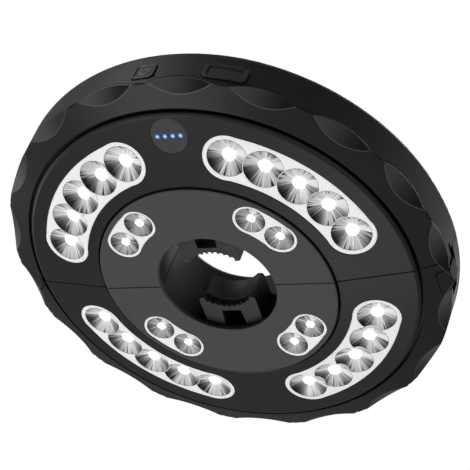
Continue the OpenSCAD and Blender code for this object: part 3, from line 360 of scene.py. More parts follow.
class MouldedGroup:
    """Shared effect of moulded plastic: faint mottling, a grain in the surface and uneven gloss."""

    NAME = "moulded_surface"
    INPUTS = (
        ("Colour", "Color", (0.1, 0.1, 0.1, 1)),
        ("Mottle", "Float", 0.1),
        ("Roughness", "Float", 0.4),
        ("Unevenness", "Float", 0.05),
        ("Grain scale", "Float", 1500.0),
    )
    OUTPUTS = (("Colour", "Color"), ("Roughness", "Float"), ("Height", "Float"))
    MOTTLE_SCALE = 38.0
    MOTTLE_DETAIL = 3.0
    GRAIN_DETAIL = 1.5

    @classmethod
    def get(cls) -> bpy.types.NodeTree:
        """The group, made on first use."""
        found = bpy.data.node_groups.get(cls.NAME)
        return found if found else cls._build()

    @classmethod
    def _build(cls) -> bpy.types.NodeTree:
        """Drives colour and gloss with a broad noise, and the height with a fine one."""
        group = bpy.data.node_groups.new(cls.NAME, "ShaderNodeTree")
        for name, kind, value in cls.INPUTS:
            add_socket(group, name, True, kind, value)
        for name, kind in cls.OUTPUTS:
            add_socket(group, name, False, kind)
        links = group.links
        given = group.nodes.new("NodeGroupInput").outputs
        out = group.nodes.new("NodeGroupOutput").inputs
        place = group.nodes.new("ShaderNodeTexCoord")
        broad, grain = group.nodes.new("ShaderNodeTexNoise"), group.nodes.new("ShaderNodeTexNoise")
        for noise, detail in ((broad, cls.MOTTLE_DETAIL), (grain, cls.GRAIN_DETAIL)):
            noise.inputs["Detail"].default_value = detail
            links.new(place.outputs["Object"], noise.inputs["Vector"])
        broad.inputs["Scale"].default_value = cls.MOTTLE_SCALE
        links.new(given["Grain scale"], grain.inputs["Scale"])
        centred = calc(group, "SUBTRACT", broad.outputs["Fac"], 0.5)
        amount = calc(group, "MULTIPLY_ADD", centred, given["Mottle"], 1.0)
        rough = calc(group, "MULTIPLY_ADD", centred, given["Unevenness"], given["Roughness"])
        links.new(scaled(group, given["Colour"], amount), out["Colour"])
        links.new(rough, out["Roughness"])
        links.new(grain.outputs["Fac"], out["Height"])
        return group


# ---------------------------------------------------------------- finishes


GRAIN_DEPTH = 0.3 * MM
COAT_ROUGHNESS = 0.12
BEVEL_SAMPLES = 6
# a face gets painted wall shade below the first upward part of its normal, and none above the second
WALL_NORMAL = (0.15, 0.45)
WALL_FADE = 0.8


@dataclass(frozen=True)
class Finish:
    """One surface finish, made once as a material and shared.

    Attributes:
        name: the material's name.
        colour: linear red, green and blue.
        roughness: base roughness.
        metallic: share of metal.
        coat: clear coat weight.
        mottle: how much the colour varies.
        unevenness: how much the gloss varies.
        grain: height of the surface grain.
        grain_scale: how fine the grain is.
        glow: emission strength, in the finish's own colour.
        specular: strength of the plain reflection.
        edge: radius to which hard edges are rounded in the shading.
        walls: brightness kept on faces that stand along the pole, such as the sides of a gap, darkened there
            as painted shade.
        walls_from: height from which that painted shade starts.
    """

    name: str
    colour: Colour
    roughness: float = 0.45
    metallic: float = 0.0
    coat: float = 0.0
    mottle: float = 0.12
    unevenness: float = 0.06
    grain: float = 0.05
    grain_scale: float = 1500.0
    glow: float = 0.0
    specular: float = 0.5
    edge: float = 0.0
    walls: float = 1.0
    walls_from: float = -10.0

    def material(self) -> bpy.types.Material:
        """The Blender material of this finish."""
        found = bpy.data.materials.get(self.name)
        return found if found else self._build()

    def _build(self) -> bpy.types.Material:
        """Makes the material: the moulded effect, its bump and, where asked, rounded edges."""
        made = bpy.data.materials.new(self.name)
        made.use_nodes = True
        nodes, links = made.node_tree.nodes, made.node_tree.links
        shader = nodes["Principled BSDF"].inputs
        shader["Metallic"].default_value = self.metallic
        shader["Coat Weight"].default_value = self.coat
        shader["Coat Roughness"].default_value = COAT_ROUGHNESS
        shader["Specular IOR Level"].default_value = self.specular
        if self.glow:
            shader["Emission Color"].default_value = (*self.colour, 1)
            shader["Emission Strength"].default_value = self.glow
        effect = nodes.new("ShaderNodeGroup")
        effect.node_tree = MouldedGroup.get()
        for name, value in (
            ("Colour", (*self.colour, 1)),
            ("Mottle", self.mottle),
            ("Roughness", self.roughness),
            ("Unevenness", self.unevenness),
            ("Grain scale", self.grain_scale),
        ):
            effect.inputs[name].default_value = value
        bump = nodes.new("ShaderNodeBump")
        bump.inputs["Strength"].default_value = self.grain
        bump.inputs["Distance"].default_value = GRAIN_DEPTH
        links.new(self._tint(made.node_tree, effect.outputs["Colour"]), shader["Base Color"])
        links.new(effect.outputs["Roughness"], shader["Roughness"])
        links.new(effect.outputs["Height"], bump.inputs["Height"])
        links.new(bump.outputs["Normal"], shader["Normal"])
        if self.edge:
            rounded = nodes.new("ShaderNodeBevel")
            rounded.samples = BEVEL_SAMPLES
            rounded.inputs["Radius"].default_value = self.edge * MM
            links.new(rounded.outputs["Normal"], bump.inputs["Normal"])
        return made

    def _tint(self, tree: bpy.types.NodeTree, colour: Socket) -> Socket:
        """The base colour, with painted shade on faces that stand along the pole.

        Args:
            tree: the material's nodes.
            colour: the plain colour.

        Returns:
            The colour for the shader.
        """
        if self.walls == 1.0:
            return colour
        _, _, facing = coordinates(tree, "Normal")
        _, _, height = coordinates(tree, "Object")
        # painted shade on upright faces, from the given height on
        upright = ramp(tree, calc(tree, "ABSOLUTE", facing), *WALL_NORMAL, 1.0, 0.0)
        deep = ramp(tree, height, self.walls_from * MM, (self.walls_from + WALL_FADE) * MM, 0.0, 1.0)
        kept = calc(tree, "MULTIPLY_ADD", calc(tree, "MULTIPLY", upright, deep), self.walls - 1.0, 1.0)
        return scaled(tree, colour, kept)


@dataclass(frozen=True)
class RimFinish(Finish):
    """Finish of the rim parts: scallop floors with painted light-to-dark shading along them, a fine painted
    highlight line round them, and painted shade near the pole.

    Attributes:
        floor_light: colour of a scallop's floor at its lit end, a painted highlight.
        floor_dark: colour at its dark end, painted shade.
        floor_span: where both ends are reached, as a share of the scallop's half length.
        line: colour of the painted highlight line at a scallop's edges.
        bore: near-black painted shade near the pole, where the cover's inside shows.
        bore_edge: radii between which that painted shade ends.
    """

    floor_light: Colour = (0.085, 0.082, 0.076)
    floor_dark: Colour = (0.006, 0.006, 0.006)
    floor_span: float = 0.75
    line: Colour = (0.11, 0.11, 0.11)
    bore: Colour = (0.0006, 0.0006, 0.0006)
    bore_edge: tuple[float, float] = (31.0, 34.0)

    def _tint(self, tree: bpy.types.NodeTree, colour: Socket) -> Socket:
        """The base colour with the scallops' painted floor shading, their painted edge highlights and the
        painted shade near the pole laid over it.

        Args:
            tree: the material's nodes.
            colour: the plain colour.

        Returns:
            The colour for the shader.
        """
        masks = tree.nodes.new("ShaderNodeGroup")
        masks.node_tree = ScallopGroup.get()
        # painted shading: each scallop floor runs from a lit end to a dark end
        along = ramp(tree, masks.outputs["Along"], -self.floor_span, self.floor_span, 0.0, 1.0)
        floor_painted_gradient = blended(tree, along, self.floor_light, self.floor_dark)
        floors = blended(tree, masks.outputs["Floor"], super()._tint(tree, colour), floor_painted_gradient)
        # painted highlight: a light line just outside each scallop's edge
        with_edge_highlight = blended(tree, masks.outputs["Edge"], floors, self.line)
        # painted shade: near-black near the pole, where the cover's inside shows
        x, y, _ = coordinates(tree, "Object")
        start, end = self.bore_edge
        outside = ramp(tree, length(tree, x, y), start * MM, end * MM, 0.0, 1.0)
        return blended(tree, outside, self.bore, with_edge_highlight)


@dataclass(frozen=True)
class CupFinish:
    """Finish of the fluted lens cups: silvery, with painted reflections of each light as brightness painted
    per flute, which also glows as painted light.

    Attributes:
        name: the material's name.
        dark: colour of the darkest painted reflection rays.
        light: colour of the brightest painted reflection rays.
        contrast: power of the painted brightness.
        glow: emission strength, in the painted colour, which makes the painted reflections glow.
        roughness: base roughness.
        specular: strength of the plain reflection.
    """

    name: str = "lens_cup"
    dark: Colour = (0.004, 0.004, 0.004)
    light: Colour = (0.8, 0.81, 0.82)
    contrast: float = 2.0
    glow: float = 0.33
    roughness: float = 0.3
    specular: float = 0.2

    def material(self) -> bpy.types.Material:
        """The material, which reads the mesh's attribute of painted reflection brightness."""
        found = bpy.data.materials.get(self.name)
        return found if found else self._build()

    def _build(self) -> bpy.types.Material:
        """Makes the material."""
        made = bpy.data.materials.new(self.name)
        made.use_nodes = True
        tree = made.node_tree
        shader = tree.nodes["Principled BSDF"].inputs
        shader["Roughness"].default_value = self.roughness
        shader["Specular IOR Level"].default_value = self.specular
        shader["Emission Strength"].default_value = self.glow
        shine = tree.nodes.new("ShaderNodeAttribute")
        shine.attribute_name = "shine"
        share = calc(tree, "POWER", shine.outputs["Fac"], self.contrast)
        base = blended(tree, share, self.dark, self.light)
        tree.links.new(base, shader["Base Color"])
        tree.links.new(base, shader["Emission Color"])
        return made


class Finishes:
    """Every finish of the lamp."""

    COVER = RimFinish("cover_black", (0.0085, 0.0085, 0.009), 0.38, grain=0.04, specular=0.24, edge=0.35)
    BEZEL = RimFinish(
        "bezel_charcoal", (0.017, 0.017, 0.0175), 0.36,
        grain=0.03, specular=0.20, edge=0.25, walls=0.05, walls_from=8.0,
    )
    PLATE = Finish(
        "plate_charcoal", (0.023, 0.023, 0.024), 0.38,
        grain=0.02, mottle=0.05, specular=0.24, edge=0.3, walls=0.05,
    )
    RING = Finish(
        "ring_grey", (0.074, 0.074, 0.075), 0.62,
        grain=0.6, grain_scale=2600.0, mottle=0.08, edge=0.25, walls=0.12,
    )
    JAW = Finish("jaw_grey", (0.03, 0.03, 0.032), 0.5, grain=0.12, edge=0.25, walls=0.3)
    GUIDE = Finish("guide_black", (0.002, 0.002, 0.002), 0.7, grain=0.1, specular=0.04)
    # the white trays glow: painted light that brightens them beyond what the lamps give
    TRAY = Finish("tray_white_painted_glow", (0.84, 0.84, 0.85), 0.4, mottle=0.03, grain=0.01, glow=0.42, edge=0.3)
    EDGE = Finish("lens_edge_line", (0.02, 0.02, 0.02), 0.3)
    # the bead glows: a painted highlight along each lens's edge
    BEAD = Finish("lens_bead", (0.8, 0.8, 0.8), 0.2, glow=0.45)
    CHIP = Finish("light_chip", (1.0, 1.0, 1.0), 0.5, glow=2.5)
    HALO = Finish("light_halo", (0.75, 0.75, 0.75), 0.4, glow=0.25)
    SMOKE = Finish("window_smoke", (0.055, 0.055, 0.055), 0.22, coat=0.3, grain=0.01)
    BLUE = Finish("indicator_blue", (0.03, 0.17, 0.8), 0.3, glow=0.8)
    BLUE_CORE = Finish("indicator_blue_core", (0.3, 0.56, 1.0), 0.3, glow=0.9)
    BUTTON = Finish("button_black", (0.012, 0.012, 0.013), 0.3, grain=0.05, edge=0.4)
    RUBBER = Finish("port_rubber", (0.008, 0.008, 0.008), 0.36, grain=0.12, edge=0.5)
    MARK = Finish("button_mark", (0.16, 0.16, 0.16), 0.3)
    STEEL = Finish("spring_steel", (0.55, 0.56, 0.58), 0.3, metallic=1.0, mottle=0.2)
    NICKEL = Finish("nickel", (0.68, 0.69, 0.71), 0.18, metallic=1.0)
    ZINC = Finish("dark_zinc", (0.16, 0.165, 0.17), 0.38, metallic=1.0)
    BOARD = Finish("board_white", (0.72, 0.72, 0.69), 0.5)
    GREEN = Finish("board_green", (0.012, 0.11, 0.04), 0.35, coat=0.4)
    CELL = Finish("cell_wrap", (0.02, 0.09, 0.32), 0.3, coat=0.3)
    BRASS = Finish("brass", (0.6, 0.42, 0.13), 0.3, metallic=1.0)
    WIRE = Finish("wire_red", (0.3, 0.012, 0.01), 0.45)
    CUP = CupFinish()


# ---------------------------------------------------------------- mesh helpers


@dataclass
class MeshBuilder:
    """Collects vertices and faces, then becomes one object.

    Attributes:
        name: the piece's name.
        verts: points in metres, in the row frame.
        faces: vertex indices.
        slots: material index of each face.
        smooth: whether each face is shaded smooth.
        shine: each vertex's painted reflection brightness, kept as a mesh attribute.
    """

    name: str
    verts: list[Vector] = field(default_factory=list)
    faces: list[tuple[int, ...]] = field(default_factory=list)
    slots: list[int] = field(default_factory=list)
    smooth: list[bool] = field(default_factory=list)
    shine: list[float] = field(default_factory=list)

    # a path that rises more steeply than this takes X as its side's reference
    STEEP = 0.9

    def point(self, where: Vector, shine: float = 0.0) -> int:
        """Adds a vertex and returns its index."""
        self.verts.append(where)
        self.shine.append(shine)
        return len(self.verts) - 1

    def face(self, ids: tuple[int, ...], slot: int = 0, smooth: bool = True) -> None:
        """Adds one face."""
        self.faces.append(ids)
        self.slots.append(slot)
        self.smooth.append(smooth)

    def rings(self, rows: list[list[int]], slot: int = 0, smooth: bool = True) -> None:
        """Joins closed rows of vertices with quads.

        Args:
            rows: vertex indices, all rows equally long.
            slot: material index.
            smooth: shading.
        """
        for a, b in zip(rows, rows[1:]):
            for i, here in enumerate(a):
                j = (i + 1) % len(a)
                self.face((here, a[j], b[j], b[i]), slot, smooth)

    def tube(self, path: list[Vector], radius: float, sides: int = 10) -> None:
        """Sweeps a round section along an open path, in metres, and closes its ends."""
        rows: list[list[int]] = []
        last = len(path) - 1
        for i, here in enumerate(path):
            along = (path[min(i + 1, last)] - path[max(i - 1, 0)]).normalized()
            up = Vector((0, 0, 1)) if abs(along.z) < self.STEEP else Vector((1, 0, 0))
            side = along.cross(up).normalized()
            top = side.cross(along)
            rows.append([
                self.point(here + radius * (math.cos(t) * side + math.sin(t) * top)) for t in full_turn(sides)
            ])
        self.rings(rows)
        self.face(tuple(reversed(rows[0])))
        self.face(tuple(rows[-1]))

    def build(self, *materials: bpy.types.Material) -> bpy.types.Object:
        """Makes the object, with one slot per material."""
        mesh = bpy.data.meshes.new(self.name)
        mesh.from_pydata([tuple(v) for v in self.verts], [], self.faces)
        for material in materials:
            mesh.materials.append(material)
        mesh.polygons.foreach_set("material_index", self.slots)
        mesh.polygons.foreach_set("use_smooth", self.smooth)
        shine = mesh.attributes.new("shine", "FLOAT", "POINT")
        shine.data.foreach_set("value", self.shine)
        mesh.update()
        made = bpy.data.objects.new(self.name, mesh)
        bpy.context.scene.collection.objects.link(made)
        LOG.info("%s: %d vertices, %d faces", self.name, len(self.verts), len(self.faces))
        return made


# ---------------------------------------------------------------- housing


def both(prefix: str) -> tuple[str, str]:
    """The two nodes, one per half, that share a prefix."""
    return f"{prefix}_control", f"{prefix}_follower"


def strips(prefix: str) -> tuple[str, ...]:
    """The four nodes, two per half, that share a prefix."""
    return tuple(f"{prefix}_{half.label}_{hand}" for half in Half for hand in ("left", "right"))


class Housing:
    """Every node that keeps its CAD shape, with its finish."""

    PARTS = (
        (Finishes.COVER, both("back_cover")),
        (Finishes.BEZEL, (*both("bezel"), "latch_tab", "latch_hook")),
        (Finishes.PLATE, both("face_plate")),
        (Finishes.RING, both("inner_ring")),
        (Finishes.TRAY, (*strips("outer_tray"), *strips("inner_tray"))),
        (Finishes.BOARD, (*both("outer_light_board"), *both("inner_light_boards"))),
        (Finishes.HALO, both("emitters")),
        (Finishes.JAW, (*both("jaw"), *both("hanging_hook"))),
        (Finishes.GUIDE, (*both("jaw_guide"), "cell_cradle", "switch_body")),
        (Finishes.CELL, ("battery_cell",)),
        (Finishes.NICKEL, ("cell_tabs", "charging_socket", "hinge_pin", "latch_pin", *both("hook_pin"))),
        (Finishes.GREEN, ("charge_board",)),
        (Finishes.BRASS, ("switch_plunger",)),
        (Finishes.BUTTON, ("power_button",)),
        (Finishes.RUBBER, ("port_cover",)),
        (Finishes.SMOKE, ("indicator_window",)),
        (Finishes.BLUE, ("indicator_lights",)),
        (Finishes.ZINC, both("case_screws")),
    )

    def build(self) -> None:
        """Puts the materials on the nodes."""
        for finish, names in self.PARTS:
            for name in names:
                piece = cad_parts[name]
                piece.data.materials.clear()
                piece.data.materials.append(finish.material())
                LOG.info("%s: %s", name, finish.name)


# ---------------------------------------------------------------- lights


@dataclass(frozen=True)
class Sector:
    """A brighter or darker sector of a lens cup's painted reflections.

    Attributes:
        angle: its middle in degrees from +X, as the lamp is seen from the pole's top.
        half: half its width in degrees.
        strength: what it adds to the brightness at the cup's edge.
    """

    angle: float
    half: float
    strength: float

    def at(self, angle: float) -> float:
        """What the sector adds in one direction, in radians."""
        off = abs((math.degrees(angle) - self.angle + 180.0) % 360.0 - 180.0) / self.half
        return self.strength * max(0.0, 1.0 - off * off)


@dataclass
class Streaks:
    """Painted reflections of one lens cup, as fine rays: dark wedges that widen to its edge and white rays
    that start at its light.

    Attributes:
        dice: the cup's own random draws.
        sectors: broad brighter and darker sectors.
        base: brightness between the rays.
        count: number of rays.
    """

    dice: random.Random
    sectors: tuple[Sector, ...]
    base: float
    count: int

    # least and greatest half width of a ray in degrees, its strengths, and where it starts
    HALF_WIDTHS = (1.3, 5.0)
    STRENGTHS = (-0.6, -0.4, -0.25, 0.2, 0.35, 0.5)
    STARTS = (0.25, 0.8)
    # painted brightness added towards the middle, and the painted glow round the light up to its reach
    MIDDLE_LIFT = 0.16
    GLOW = 0.3
    GLOW_REACH = 0.27
    GLOW_FADE = 0.04
    DARKEST = 0.015
    # width of a dark wedge where it starts, as a share of its width at the edge
    WEDGE_START = 0.25
    # how fast a white ray fades, in general and for each ray's own start, narrows and saturates
    RAY_FADE = 0.55
    RAY_FADE_OWN = 0.5
    RAY_NARROWING = 0.6
    RAY_GAIN = 1.6

    def __post_init__(self) -> None:
        """Draws the rays."""
        self.rays = [
            (
                self.dice.uniform(0, 2 * math.pi),
                math.radians(self.dice.uniform(*self.HALF_WIDTHS)),
                self.dice.choice(self.STRENGTHS),
                self.dice.uniform(*self.STARTS),
            )
            for _ in range(self.count)
        ]

    def at(self, angle: float, share: float) -> float:
        """Brightness at one place.

        Args:
            angle: direction from the cup's middle, in radians from +X.
            share: distance from the middle as a share of the cup's radius.

        Returns:
            A value from 0, black, to 1, white.
        """
        value = self.base + self.MIDDLE_LIFT * (1.0 - share)
        value += sum(sector.at(angle) for sector in self.sectors) * share
        for middle, half, strength, start in self.rays:
            off = abs((angle - middle + math.pi) % (2 * math.pi) - math.pi)
            if strength < 0:
                grow = max(0.0, (share - start) / (1.0 - start))
                width = half * (self.WEDGE_START + (1.0 - self.WEDGE_START) * grow)
            else:
                grow = max(0.0, 1.0 - share * (self.RAY_FADE + start * self.RAY_FADE_OWN))
                width = half * (1.0 - self.RAY_NARROWING * share)
            if off < width and grow > 0:
                value += strength * min(1.0, self.RAY_GAIN * grow) * (1.0 - (off / width) ** 2)
        glow = max(0.0, 1.0 - max(0.0, share - self.GLOW_REACH) / self.GLOW_FADE)
        return min(1.0, max(self.DARKEST, value + self.GLOW * glow))


@dataclass(frozen=True)
class RowStyle:
    """How the painted reflections in one row's cups are laid out, and the chips of their lights.

    Attributes:
        sectors: middle angle, how far it strays, half width and strength of each sector.
        base: brightness between the rays.
        rays: number of rays.
        chip_sides: corners of the light's chip.
        chip_share: radius of the chip as a share of the lens's.
    """

    sectors: tuple[tuple[float, float, float, float], ...]
    base: float
    rays: int
    chip_sides: int
    chip_share: float


STYLES = {
    Row.OUTER: RowStyle(((163, 14, 42, -0.8), (40, 14, 30, -0.5), (-2, 10, 20, 0.6)), 0.78, 54, 32, 0.27),
    Row.INNER: RowStyle(((175, 12, 44, -0.4), (20, 12, 38, -0.38), (-55, 6, 26, 0.6)), 0.6, 44, 4, 0.29),
}


@dataclass
class LensStrip:
    """One clear strip of fluted lens cups, each with its light.

    Attributes:
        layout: the row's sizes.
        half: which half ring it sits in.
        right: True on the +X side.
    """

    layout: RowLayout
    half: Half
    right: bool

    # flutes round one cup, points round it, and its rows of points as shares of its radius
    FLUTES = 30
    STEPS = 240
    EDGE_STEPS = 120
    SHARES = (1.0, 0.95, 0.88, 0.8, 0.71, 0.62, 0.53, 0.44, 0.36, 0.28)
    FLUTE_DEPTH = 0.13
    BOWL_POWER = 1.5
    # gap left to the next cup, which overlaps this one
    OVERLAP_GAP = 0.12
    # depths of the halo and of the chip's two ends, as shares of the cup's depth
    HALO_DEPTH = 0.9
    CHIP_DEPTHS = (0.68, 0.88)
    # slot, outer and inner offset from the cup's edge and lift of its dark line and of its bright bead, which
    # glows as a painted highlight
    EDGE_LINES = ((3, -0.06, -0.24, -0.02), (4, 0.14, -0.08, -0.04))
    EDGE_LIFT = 0.02

    @property
    def name(self) -> str:
        """The CAD node that this strip stands for."""
        hand = "right" if self.right else "left"
        return f"{self.layout.row.value}_lens_{self.half.label}_{hand}"

    def _place(self, index: int) -> Matrix:
        """Local frame of one light: X outwards along the face, Z into the lamp."""
        a = math.radians(self.layout.angle(self.half, self.right, index))
        t = self.layout.tilt
        out = Vector((math.cos(a), math.sin(a), 0))
        x = out * math.cos(t) + Vector((0, 0, math.sin(t)))
        z = -out * math.sin(t) + Vector((0, 0, math.cos(t)))
        m = Matrix((x, z.cross(x), z)).transposed().to_4x4()
        m.translation = out * self.layout.radius + Vector((0, 0, self.layout.face_z))
        return m

    def _reach(self, index: int, angle: float) -> float:
        """How far the cup goes in one direction before the next cup's circle cuts it."""
        lay = self.layout
        if index == lay.count - 1:
            return lay.lens_radius
        gap = self._place(index).inverted() @ self._place(index + 1).translation
        along = gap.x * math.cos(angle) + gap.y * math.sin(angle)
        miss = gap.x * gap.x + gap.y * gap.y - along * along
        radius = lay.lens_radius + self.OVERLAP_GAP
        if along <= 0 or miss >= radius * radius:
            return lay.lens_radius
        return min(lay.lens_radius, along - math.sqrt(radius * radius - miss))

    def _streaks(self, dice: random.Random) -> Streaks:
        """The painted reflection rays of one cup of this row."""
        style = STYLES[self.layout.row]
        sectors = tuple(
            Sector(middle + dice.uniform(-stray, stray), half, strength)
            for middle, stray, half, strength in style.sectors
        )
        return Streaks(dice, sectors, style.base, style.rays)

    def _cup(self, mesh: MeshBuilder, index: int, dice: random.Random) -> None:
        """One fluted cup with its bright bottom and the line round its edge."""
        lay = self.layout
        m = self._place(index)
        turn = math.radians(lay.angle(self.half, self.right, index))
        painted_rays = self._streaks(dice)
        inmost = self.SHARES[-1]
        inner = lay.lens_radius * inmost
        rows: list[list[int]] = []
        for share in self.SHARES:
            ids = []
            fade = math.sin(math.pi * min(1.0, (1 - share) / (1 - inmost)))
            for angle in full_turn(self.STEPS):
                r = inner + (self._reach(index, angle) - inner) * (share - inmost) / (1 - inmost)
                real = r / lay.lens_radius
                depth = lay.depth * (1 - real ** self.BOWL_POWER)
                depth += self.FLUTE_DEPTH * math.cos(self.FLUTES * angle) * fade
                where = Vector((r * math.cos(angle), r * math.sin(angle), depth))
                ids.append(mesh.point(m @ where * MM, painted_rays.at(angle + turn, real)))
            rows.append(ids)
        mesh.rings(rows)
        self._light(mesh, m, rows[-1])
        self._edge(mesh, m, index)

    def _light(self, mesh: MeshBuilder, m: Matrix, ring: list[int]) -> None:
        """The halo at the bottom of the cup and the chip on it."""
        lay, style = self.layout, STYLES[self.layout.row]
        centre = mesh.point(m @ Vector((0, 0, lay.depth * self.HALO_DEPTH)) * MM, 1.0)
        for here, there in zip(ring, ring[1:] + ring[:1]):
            mesh.face((here, there, centre), 1)
        reach = lay.lens_radius * style.chip_share
        corners = [(reach * math.cos(a), reach * math.sin(a)) for a in full_turn(style.chip_sides, 0.5)]
        low, high = (
            [mesh.point(m @ Vector((x, y, lay.depth * depth)) * MM, 1.0) for x, y in corners]
            for depth in self.CHIP_DEPTHS
        )
        mesh.rings([low, high], 2, smooth=False)
        mesh.face(tuple(low), 2, smooth=False)

    def _edge(self, mesh: MeshBuilder, m: Matrix, index: int) -> None:
        """The fine dark line round a cup's front and the bright bead outside it, a glowing painted highlight.
        """
        for slot, outer, inner, lift in self.EDGE_LINES:
            rows: list[list[int]] = [[], [], []]
            for angle in full_turn(self.EDGE_STEPS):
                reach = self._reach(index, angle)
                for ids, off, z in zip(rows, (outer, (outer + inner) / 2, inner), (0, lift, 0)):
                    r = reach + off
                    where = Vector((r * math.cos(angle), r * math.sin(angle), z - self.EDGE_LIFT))
                    ids.append(mesh.point(m @ where * MM, 1.0))
            mesh.rings(rows, slot)

    def build(self) -> None:
        """Makes the strip and lets it stand for its CAD node."""
        mesh = MeshBuilder(f"{self.name}_fluted")
        dice = random.Random(self.name)
        for index in range(self.layout.count):
            self._cup(mesh, index, dice)
        layers = (Finishes.CUP, Finishes.HALO, Finishes.CHIP, Finishes.EDGE, Finishes.BEAD)
        piece = mesh.build(*(layer.material() for layer in layers))
        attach(piece, self.half.body)
        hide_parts(self.name)


class Lights:
    """All eight lens strips."""

    def build(self) -> None:
        """Makes every strip."""
        for half in Half:
            for layout in (OUTER_ROW, INNER_ROW):
                for right in (False, True):
                    LensStrip(layout, half, right).build()


@dataclass
class Indicator:
    """The four blue dots that show through the smoked window.

    Attributes:
        count: number of dots.
        pitch: distance from one dot to the next.
        radius: distance of the row from the pole's axis.
        angle: degrees about the pole.
        lift: height of the dots behind the plate's front.
        discs: radius and lift of the dot and of its bright middle.
        steps: points round a dot.
    """

    count: int = 4
    pitch: float = 3.5
    radius: float = 79.7
    angle: float = -89.0
    lift: float = 0.1
    discs: tuple[tuple[float, float], ...] = ((1.1, 0.0), (0.55, -0.03))
    steps: int = 24

    def build(self) -> None:
        """Lays the dots just under the window's face."""
        mesh = MeshBuilder("indicator_dots")
        a = math.radians(self.angle)
        out, along = Vector((math.cos(a), math.sin(a), 0)), Vector((-math.sin(a), math.cos(a), 0))
        for i in range(self.count):
            centre = out * self.radius + along * ((i - (self.count - 1) / 2) * self.pitch)
            centre.z = plate_z(centre.length) + self.lift
            for slot, (reach, lift) in enumerate(self.discs):
                ids = []
                for t in full_turn(self.steps):
                    flat = reach * (math.cos(t) * out + math.sin(t) * along)
                    rise = Vector((0, 0, lift + PLATE_SLOPE * reach * math.cos(t)))
                    ids.append(mesh.point((centre + flat + rise) * MM))
                mesh.face(tuple(ids), slot, smooth=False)
        piece = mesh.build(Finishes.BLUE.material(), Finishes.BLUE_CORE.material())
        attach(piece, Half.CONTROL.body)


# ---------------------------------------------------------------- controls


@dataclass
class PowerMark:
    """The power sign in the button's sunk face: a ring open at the top and a bar.

    Attributes:
        angle: degrees about the pole.
        z: height of the sign's centre.
        face: distance of the sunk face from the pole's axis.
        ring: radius of the ring.
        opening: half the ring's opening in degrees.
        bar: heights of the bar's points above the centre.
        stroke: radius of the strokes.
        steps: parts of the ring.
    """

    angle: float = -94.0
    z: float = 19.8
    face: float = 102.74
    ring: float = 2.1
    opening: float = 34.0
    bar: tuple[float, ...] = (0.7, 1.4, 2.1, 2.8)
    stroke: float = 0.26
    steps: int = 40

    WALL_RADIUS = 102.7
    SIDES = 8

    def _at(self, across: float, up: float) -> Vector:
        """A point on the sunk face, in metres.

        Args:
            across: arc length along the wall.
            up: height above the sign's centre.

        Returns:
            The point in the row frame.
        """
        a = math.radians(self.angle) + across / self.WALL_RADIUS
        return Vector((self.face * math.cos(a), self.face * math.sin(a), self.z + up)) * MM

    def build(self) -> None:
        """Makes the sign as thin raised strokes."""
        mesh = MeshBuilder("power_sign")
        start, sweep = 90 + self.opening, 360 - 2 * self.opening
        turns = [math.radians(start + sweep * k / self.steps) for k in range(self.steps + 1)]
        arc = [self._at(self.ring * math.cos(t), self.ring * math.sin(t)) for t in turns]
        mesh.tube(arc, self.stroke * MM, self.SIDES)
        mesh.tube([self._at(0, up) for up in self.bar], self.stroke * MM, self.SIDES)
        piece = mesh.build(Finishes.MARK.material())
        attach(piece, "power_button")


# ---------------------------------------------------------------- springs and wires


@dataclass
class JawSpring:
    """The pair of springs behind one jaw, as wound wire.

    Attributes:
        half: which half ring.
        start: distance of the coil's near end from the split plane.
        end: distance of its far end.
        mean_radius: radius of the coil.
        wire: thickness of the wire.
        turns: turns of the coil.
        steps: points in one turn.
        x: distance of each coil from the middle of the jaw.
        z: height of the coils.
    """

    half: Half
    start: float = 34.05
    end: float = 48.15
    mean_radius: float = 3.0
    wire: float = 0.8
    turns: int = 6
    steps: int = 20
    x: float = 9.4
    z: float = 12.0

    SIDES = 8

    def _coil(self, side: int) -> list[Vector]:
        """Points along one coil, in metres.

        Args:
            side: -1 or 1, the side of the jaw's middle.

        Returns:
            The points in the row frame.
        """
        count = self.turns * self.steps
        path = []
        for k in range(count + 1):
            t = 2 * math.pi * self.turns * k / count
            y = self.start + self.wire / 2 + (self.end - self.start - self.wire) * k / count
            x, z = side * self.x + self.mean_radius * math.cos(t), self.z + self.mean_radius * math.sin(t)
            path.append(self.half.turn @ (Vector((x, -y, z)) * MM))
        return path

    def build(self) -> None:
        """Makes both coils, attaches them to their half's body and hides the CAD springs."""
        mesh = MeshBuilder(f"jaw_springs_{self.half.label}_wound")
        for side in (-1, 1):
            mesh.tube(self._coil(side), self.wire / 2 * MM, self.SIDES)
        piece = mesh.build(Finishes.STEEL.material())
        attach(piece, self.half.body)
        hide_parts(f"jaw_springs_{self.half.label}")
        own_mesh(piece)


class JumperWires:
    """Two leads that cross the split beside the hinge."""

    # their place, how far they reach to each side of the split, points along one, and its radius
    X = -87.15
    HEIGHTS = (20.8, 25.6)
    REACH = 6.9
    STEPS = 24
    RADIUS = 0.75

    def build(self) -> None:
        """Makes the leads and hides the CAD wires that they replace."""
        mesh = MeshBuilder("jumper_leads")
        for z in self.HEIGHTS:
            across = [self.REACH * (2 * k / self.STEPS - 1) for k in range(self.STEPS + 1)]
            mesh.tube([Vector((self.X, y, z)) * MM for y in across], self.RADIUS * MM)
        piece = mesh.build(Finishes.WIRE.material())
        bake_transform(piece)
        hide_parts("jumper_wires")


# ---------------------------------------------------------------- studio


